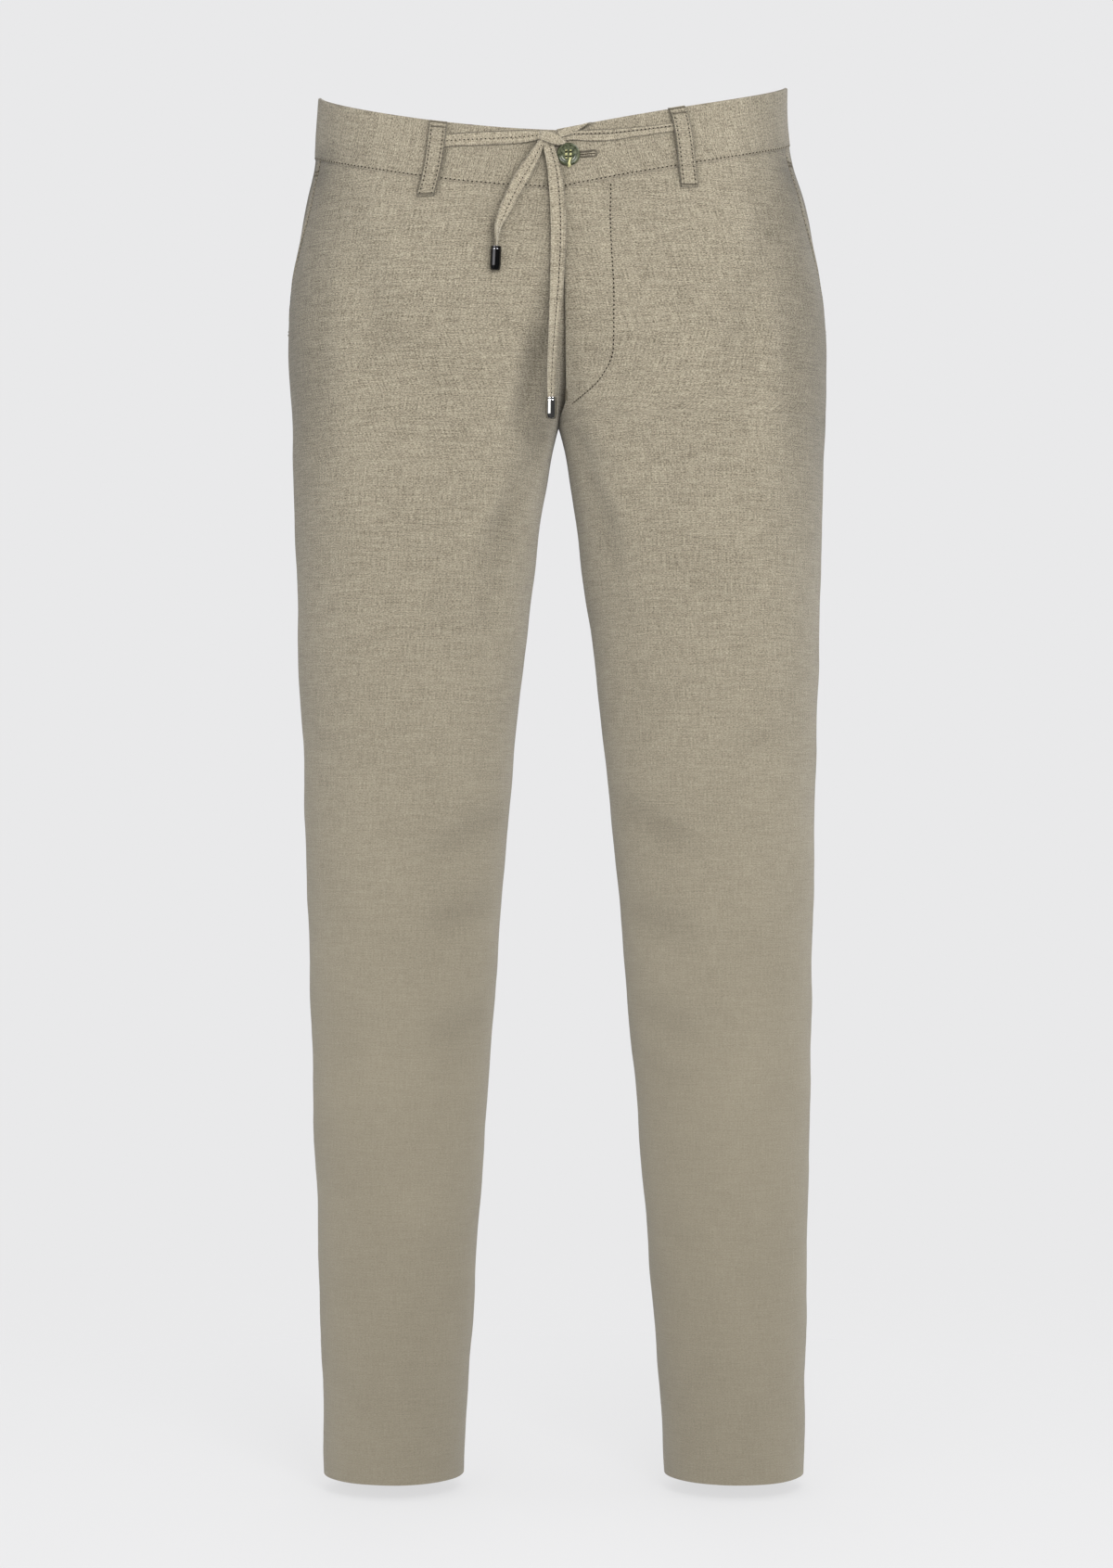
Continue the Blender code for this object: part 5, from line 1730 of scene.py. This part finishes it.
class CHINOS_OT_stitching(bpy.types.Operator):
    """Adds the topstitching of waistband, fly and pockets, the bartacks and the buttonhole"""

    bl_idname = "chinos.stitching"
    bl_label = "Stitching"

    def execute(self, context):
        pitch = context.scene.chinos_trim.stitch
        self.waistband(pitch)
        self.fly(pitch)
        self.pockets(pitch)
        self.buttonhole()
        return {"FINISHED"}

    def waistband(self, pitch):
        """A row just above the waistband's lower seam, all round."""
        runs = []
        for side in (-1, 1):
            share = np.linspace(0, 1, 900)
            z = -WAISTBAND_HEIGHT + 0 * share
            limit = -1.6 * MM if side < 0 else 0.9 * MM
            for _ in range(BAND_ROUNDS):
                end = inner_edge(side, z, WAIST_FLAP_EDGE + limit, 1)
                angle = back_centre(side, z) * (1 - share) + end * share
                z = top_edge(side, angle) - band_height(side, angle) + BAND_STITCH
            proud = WAISTBAND_PROUD - 0.36 * MM - waist_sink(side, bare_point(side, angle, z))
            line, normals = cloth_line(side, angle, z, proud)
            runs.append(stitch_run(line, normals, pitch * 0.94))
        add_stitching("waistband_stitching", runs)

    def fly(self, pitch):
        """The fly's curved row, and the bar of thread at its foot with paler threads over it."""
        run = stitch_run(*front_line(*fly_line(400).T, -0.14 * MM), pitch * 0.9, hole=0.85 * MM)
        foot = np.array(((8.0, 7.9, 7.8), (-208.5, -213, -217.5))) * MM
        points, normals = front_line(*foot, 0.10 * MM)
        along = unit(points[2] - points[0])
        tack = bartack(points[1], along, normals[1], 9.4 * MM, 4.2 * MM, 13)
        over = bartack(points[1] + normals[1] * 0.3 * MM, along, normals[1], 8.4 * MM, 3.4 * MM, 6)
        add_stitching("fly_stitching", [run], [tack], [over])

    def pockets(self, pitch):
        """A row beside each mouth, and two bars of thread across each of its ends."""
        runs, tacks = [], []
        for side in (-1, 1):
            z = np.linspace(-30 * MM, -164 * MM, 400)
            angle = mouth_angle(z)
            angle = angle + turn_of(side, angle, z, MOUTH_STITCH)
            points, normals = cloth_line(side, angle, z, 0.12 * MM)
            runs.append(stitch_run(points, normals, pitch))
            for height in np.array(((-41.5 + 3.5 * side) * MM, -160 * MM)):
                for shift in (-1.2 * MM, 1.2 * MM):
                    at = mouth_angle(height)
                    steps = np.array((1.0, 4.4, 7.8)) * MM
                    angle = at + turn_of(side, at, height, steps)
                    points, normals = cloth_line(side, angle, height + shift + 0 * steps, 0.40 * MM)
                    along = unit(points[2] - points[0])
                    tacks.append(bartack(points[1], along, normals[1], 7.6 * MM, 1.5 * MM, 12))
        add_stitching("pocket_stitching", runs, tacks)

    def buttonhole(self):
        """Threads set close together all round a slot, and a rounder eye at its far end. The slot is
        a dark strip of painted shade.
        """
        centre_x, centre_z = 22.2 * MM, -42.6 * MM
        half, high, eye = 6.6 * MM, 1.15 * MM, 1.9 * MM
        tilt = math.radians(6)
        turn = np.linspace(0, 2 * math.pi, 400)
        wide = np.cos(turn)
        along = np.sign(wide) * np.abs(wide) ** 0.35 * half
        reach = high + (eye - high) * bell(along - 5.2 * MM, 1.5 * MM)
        up = np.sin(turn) * reach
        x = centre_x + along * math.cos(tilt) - up * math.sin(tilt)
        z = centre_z + along * math.sin(tilt) + up * math.cos(tilt)
        edge = front_line(x, z, WAISTBAND_PROUD + 0.05 * MM)
        middle, ahead, normal, _ = resampled(*edge, 0.42 * MM)
        outwards = np.cross(ahead, normal)
        length = 1.9 * MM * (1 + 0.25 * np.sin(np.arange(len(middle)) * 2.3))
        middle = middle + outwards * 0.7 * MM
        threads = threads_at(middle, outwards, normal, length, 0.19 * MM, 0.32 * MM)
        slot_x = centre_x + np.linspace(-0.8, 0.86, 40) * half
        slot_z = centre_z + (slot_x - centre_x) * math.tan(tilt)
        line, line_normals = front_line(slot_x, slot_z, WAISTBAND_PROUD - 0.12 * MM)
        flat = np.cross(line_normals, unit(np.gradient(line, axis=0)))
        axes = ribbon_axes(line, flat, np.zeros(len(line)))
        slot = make_ribbon(line, axes, np.full(len(line), 0.7 * MM), (), 16, 0.5 * MM)
        made, parts = finishes(), [threads, slot]
        slots = [made["buttonhole"], made["hole"]]
        add_piece("buttonhole_thread", joined(parts), slots, kinds_of(parts, (0, 1)))


# The button's section from its underside round the rim to its inner face, in mm: distance inwards
# from the rim, and height.
BUTTON_RIM = (
    (7.9, 0.25),
    (2.2, 0.0),
    (1.0, 0.25),
    (0.35, 0.75),
    (0.05, 1.3),
    (0.0, 1.9),
    (0.12, 2.4),
    (0.4, 2.78),
    (0.8, 2.97),
    (1.2, 3.0),
    (1.6, 2.9),
    (1.95, 2.6),
    (2.25, 2.35),
    (2.5, 2.3),
    (2.8, 2.42),
    (3.1, 2.38),
    (3.4, 2.26),
)
# The thread's loose end, from the holes over the rim, in mm: across, up and out from the button.
LOOSE_END = (
    (0.9, -2.8, 2.2),
    (1.3, -3.8, 2.7),
    (0.8, -5.2, 2.9),
    (0.5, -7.0, 3.4),
    (0.9, -8.4, 3.1),
    (0.5, -9.3, 2.2),
)


class CHINOS_OT_button(bpy.types.Operator):
    """Adds the marbled button and the thread that holds it"""

    bl_idname = "chinos.button"
    bl_label = "Button"

    def execute(self, context):
        made = finishes()
        reach = BUTTON_RADIUS * 0.8
        left, right, low, high = (
            front_point(BUTTON_X + dx, BUTTON_Z + dz, WAISTBAND_PROUD)
            for dx, dz in ((-reach, 0), (reach, 0), (0, -reach), (0, reach))
        )
        face = unit(np.cross(right - left, high - low))
        seat = front_point(BUTTON_X, BUTTON_Z, WAISTBAND_PROUD) + face * BUTTON_SEAT
        across = unit(right - left)
        up = np.cross(face, across)
        self.disc(made, seat, face, across, up)
        self.thread(made, seat, face, across, up)
        return {"FINISHED"}

    def disc(self, made, seat, face, across, up):
        """A turned disc: rings of a profile whose inner face is pressed in at four round holes."""
        r = BUTTON_RADIUS
        profile = [(height * MM, r - inwards * MM) for inwards, height in BUTTON_RIM]
        inner = np.linspace(r - 3.7 * MM, 0.15 * MM, 26)
        profile += [(2.2 * MM - 0.25 * MM * (1 - radius / r), radius) for radius in inner]
        points, faces, uv, shade = lathe(seat, face, profile, 96, across)
        offset = points - seat
        x, y, height = offset @ across, offset @ up, offset @ face
        away = np.hypot(np.abs(x) - BUTTON_HOLE_X, np.abs(y) - BUTTON_HOLE_Y)
        pressed = (1 - smoothstep(away, 0.75 * MM, 1.05 * MM)) * (height > 1.5 * MM)
        part = points - face * (1.7 * MM * pressed)[:, None], faces, uv, shade
        add_piece("button_disc", part, [made["button"]], replaces=["button"])

    def thread(self, made, seat, face, across, up):
        """Bars of thread from hole to hole, dark cones of painted shade in the holes, and three loose
        strands over the rim."""
        parts, dark = [], []
        for sx in (-1, 1):
            spot = seat + across * sx * BUTTON_HOLE_X + face * 2.0 * MM
            for y, length in ((0.0, 2.0), (2.75, 0.9), (-2.75, 0.9)):
                for strand in (-0.5, 0.0, 0.5):
                    middle = (spot + across * strand * MM + up * (y + 0.15 * strand) * MM)[None]
                    parts.append(threads_at(middle, up[None], face[None], length * MM, 0.3 * MM, 0.3 * MM))
            for sy in (-1, 1):
                middle = (spot + up * sy * 1.6 * MM)[None]
                dark.append(holes_at(middle, up[None], face[None], 0.8 * MM, 0.2 * MM))
        share = np.linspace(0, 1, 40)
        loose = spread(LOOSE_END, ("x", "y", "out"), len(share))
        path = seat + np.stack(list(loose.values()), axis=1) @ np.stack([across, up, face]) * MM
        flat = np.broadcast_to(across, path.shape)
        for shift in (-0.6 * MM, 0.0, 0.6 * MM):
            moved = path + across * (shift * (0.5 + 0.8 * share))[:, None]
            axes = ribbon_axes(moved, flat, np.zeros(len(path)))
            parts.append(make_ribbon(moved, axes, np.full(len(path), 0.55 * MM), (), 10, 0.5 * MM))
        kinds = kinds_of(parts + dark, [0] * len(parts) + [1] * len(dark))
        slots = [made["button thread"], made["hole"]]
        add_piece("button_thread", joined(parts + dark), slots, kinds)


# ------------------------------------------------------------------ stage


# Name, place, aim and size of each lamp, and the setting that holds its strength. Left and right are
# the camera's.
LAMPS = (
    ("front", (0.0, -2.4, 0.0), (0, 0, -0.45), 1.0, "front_light"),
    ("hip", (0.25, -1.3, 0.1), (0, 0, -0.15), 0.5, "hip_light"),
    ("back", (0, 2.6, 0.2), (0, 0, -0.4), 1.6, "back_light"),
    ("right", (1.0, -2.3, -0.2), (0, 0, -0.5), 0.9, "side_light"),
    ("left", (-1.0, -2.3, -0.2), (0, 0, -0.5), 0.9, "side_light"),
)


class CHINOS_OT_stage(bpy.types.Operator):
    """Adds the camera, the lights and the pale surroundings"""

    bl_idname = "chinos.stage"
    bl_label = "Stage"

    def execute(self, context):
        scene, settings = context.scene, context.scene.chinos_stage
        camera = bpy.data.objects.new("camera", bpy.data.cameras.new("camera"))
        camera.data.lens = settings.lens
        camera.data.sensor_width = 36
        camera.location = (0, -settings.distance, CAMERA_HEIGHT)
        camera.rotation_euler = (math.pi / 2, 0, 0)
        scene.collection.objects.link(camera)
        scene.camera = camera
        scene.view_settings.view_transform = "Standard"
        scene.world = self.surroundings(settings)
        for name, place, aim, size, power in LAMPS:
            self.light(name, place, aim, size, getattr(settings, power))
        self.floor(settings)
        return {"FINISHED"}

    def surroundings(self, settings):
        """An even pale world. Gloss sees a darker one with a tall soft panel at the front left and
        two small lamps, so that the metal has an edge."""
        world = bpy.data.worlds.new("pale surroundings")
        world.use_nodes = True
        tree = world.node_tree
        recipe = Recipe("surroundings", tree)
        tree.nodes.clear()
        to_camera = recipe.add("ShaderNodeLightPath", {}, output="Is Camera Ray")
        to_gloss = recipe.add("ShaderNodeLightPath", {}, output="Is Glossy Ray")
        way = recipe.add("ShaderNodeTexCoord", {}, output="Generated")
        x, y, z = (recipe.add("ShaderNodeSeparateXYZ", {}, way, output=axis) for axis in range(3))
        panel = x.step(-0.97, -0.85) * (1 - x.step(-0.3, -0.15))
        panel = panel * (1 - y.step(-0.1, 0.1)) * z.step(-0.12, 0.0)
        lamps = 0.0
        for side in (-1, 1):
            aim = unit(np.array((side * 0.45, -0.55, 0.72)))
            lamps = (x * aim[0] + y * aim[1] + z * aim[2]).step(0.965, 0.985) + lamps
        gloss = panel * 1.4 + lamps * 14.0 + 0.05
        seen = recipe.blend(to_camera, settings.daylight, settings.ground)
        mirrored = recipe.add("ShaderNodeCombineColor", {}, gloss, gloss, gloss)
        colour = recipe.blend(to_gloss, seen, mirrored)
        background = tree.nodes.new("ShaderNodeBackground")
        recipe.fill(background.inputs["Color"], colour)
        ending = tree.nodes.new("ShaderNodeOutputWorld")
        tree.links.new(background.outputs[0], ending.inputs[0])
        return world

    def floor(self, settings):
        """A round floor just under the hems, which fades into the surroundings."""
        turn = turn_round(96)
        radius = np.array((0.05, 0.4, 0.9, 1.6))[:, None]
        points = np.stack(np.broadcast_arrays(radius * np.cos(turn), radius * np.sin(turn), FLOOR), axis=-1)
        index = np.arange(radius.size * turn.size).reshape(-1, turn.size)
        faces = grid_faces(index, closed=True)[:, ::-1].tolist() + [index[0].tolist()]
        mesh = bpy.data.meshes.new("floor")
        mesh.from_pydata(points.reshape(-1, 3).tolist(), [], faces)
        floor = bpy.data.objects.new("floor", mesh)
        bpy.context.scene.collection.objects.link(floor)
        recipe = Recipe("pale floor")
        x, y, _ = recipe.place("Object")
        away = (x * x + y * y).math("SQRT")
        recipe.finish(
            Base_Color=toned(settings.ground, 0.26),
            Roughness=1.0,
            Specular_IOR_Level=0.0,
            Emission_Color=settings.ground,
            Emission_Strength=0.80,
            Alpha=1 - away.step(0.3, 1.4),
        )
        mesh.materials.append(recipe.material)
        for ray in ("diffuse", "glossy", "transmission", "shadow"):
            setattr(floor, f"visible_{ray}", False)

    def light(self, name, place, aim, size, power):
        """A square lamp turned towards its aim. Gloss and the camera don't see it."""
        data = bpy.data.lights.new(name, "AREA")
        data.size, data.energy = size, power
        lamp = bpy.data.objects.new(name, data)
        lamp.location = place
        direction = Vector(aim) - Vector(place)
        lamp.rotation_euler = direction.to_track_quat("-Z", "Y").to_euler()
        lamp.visible_glossy = lamp.visible_camera = False
        bpy.context.scene.collection.objects.link(lamp)


class CHINOS_PT_pieces(bpy.types.Panel):
    """Lists the settings and the operators"""

    bl_label = "Drawstring chinos"
    bl_space_type = "VIEW_3D"
    bl_region_type = "UI"
    bl_category = "Chinos"

    def draw(self, context):
        for settings in (context.scene.chinos_cloth, context.scene.chinos_trim, context.scene.chinos_stage):
            box = self.layout.box()
            for name in type(settings).__annotations__:
                box.prop(settings, name)
        for operator in OPERATORS:
            self.layout.operator(operator.bl_idname)


OPERATORS = (
    CHINOS_OT_stage,
    CHINOS_OT_drawstring,
    CHINOS_OT_panels,
    CHINOS_OT_waistband,
    CHINOS_OT_belt_loops,
    CHINOS_OT_stitching,
    CHINOS_OT_button,
)
SETTINGS = {"chinos_cloth": ChinosCloth, "chinos_trim": ChinosTrim, "chinos_stage": ChinosStage}
CLASSES = (*SETTINGS.values(), *OPERATORS, CHINOS_PT_pieces)


def register():
    """Makes the classes and the settings known."""
    for made in CLASSES:
        bpy.utils.register_class(made)
    for name, settings in SETTINGS.items():
        setattr(bpy.types.Scene, name, bpy.props.PointerProperty(type=settings))


def unregister():
    """Takes them away again."""
    for name in SETTINGS:
        delattr(bpy.types.Scene, name)
    for made in reversed(CLASSES):
        bpy.utils.unregister_class(made)


def main():
    register()
    bpy.ops.chinos.stage()
    bpy.ops.chinos.drawstring()
    bpy.ops.chinos.panels()
    bpy.ops.chinos.waistband()
    bpy.ops.chinos.belt_loops()
    bpy.ops.chinos.stitching()
    bpy.ops.chinos.button()


if __name__ == "__main__":
    main()
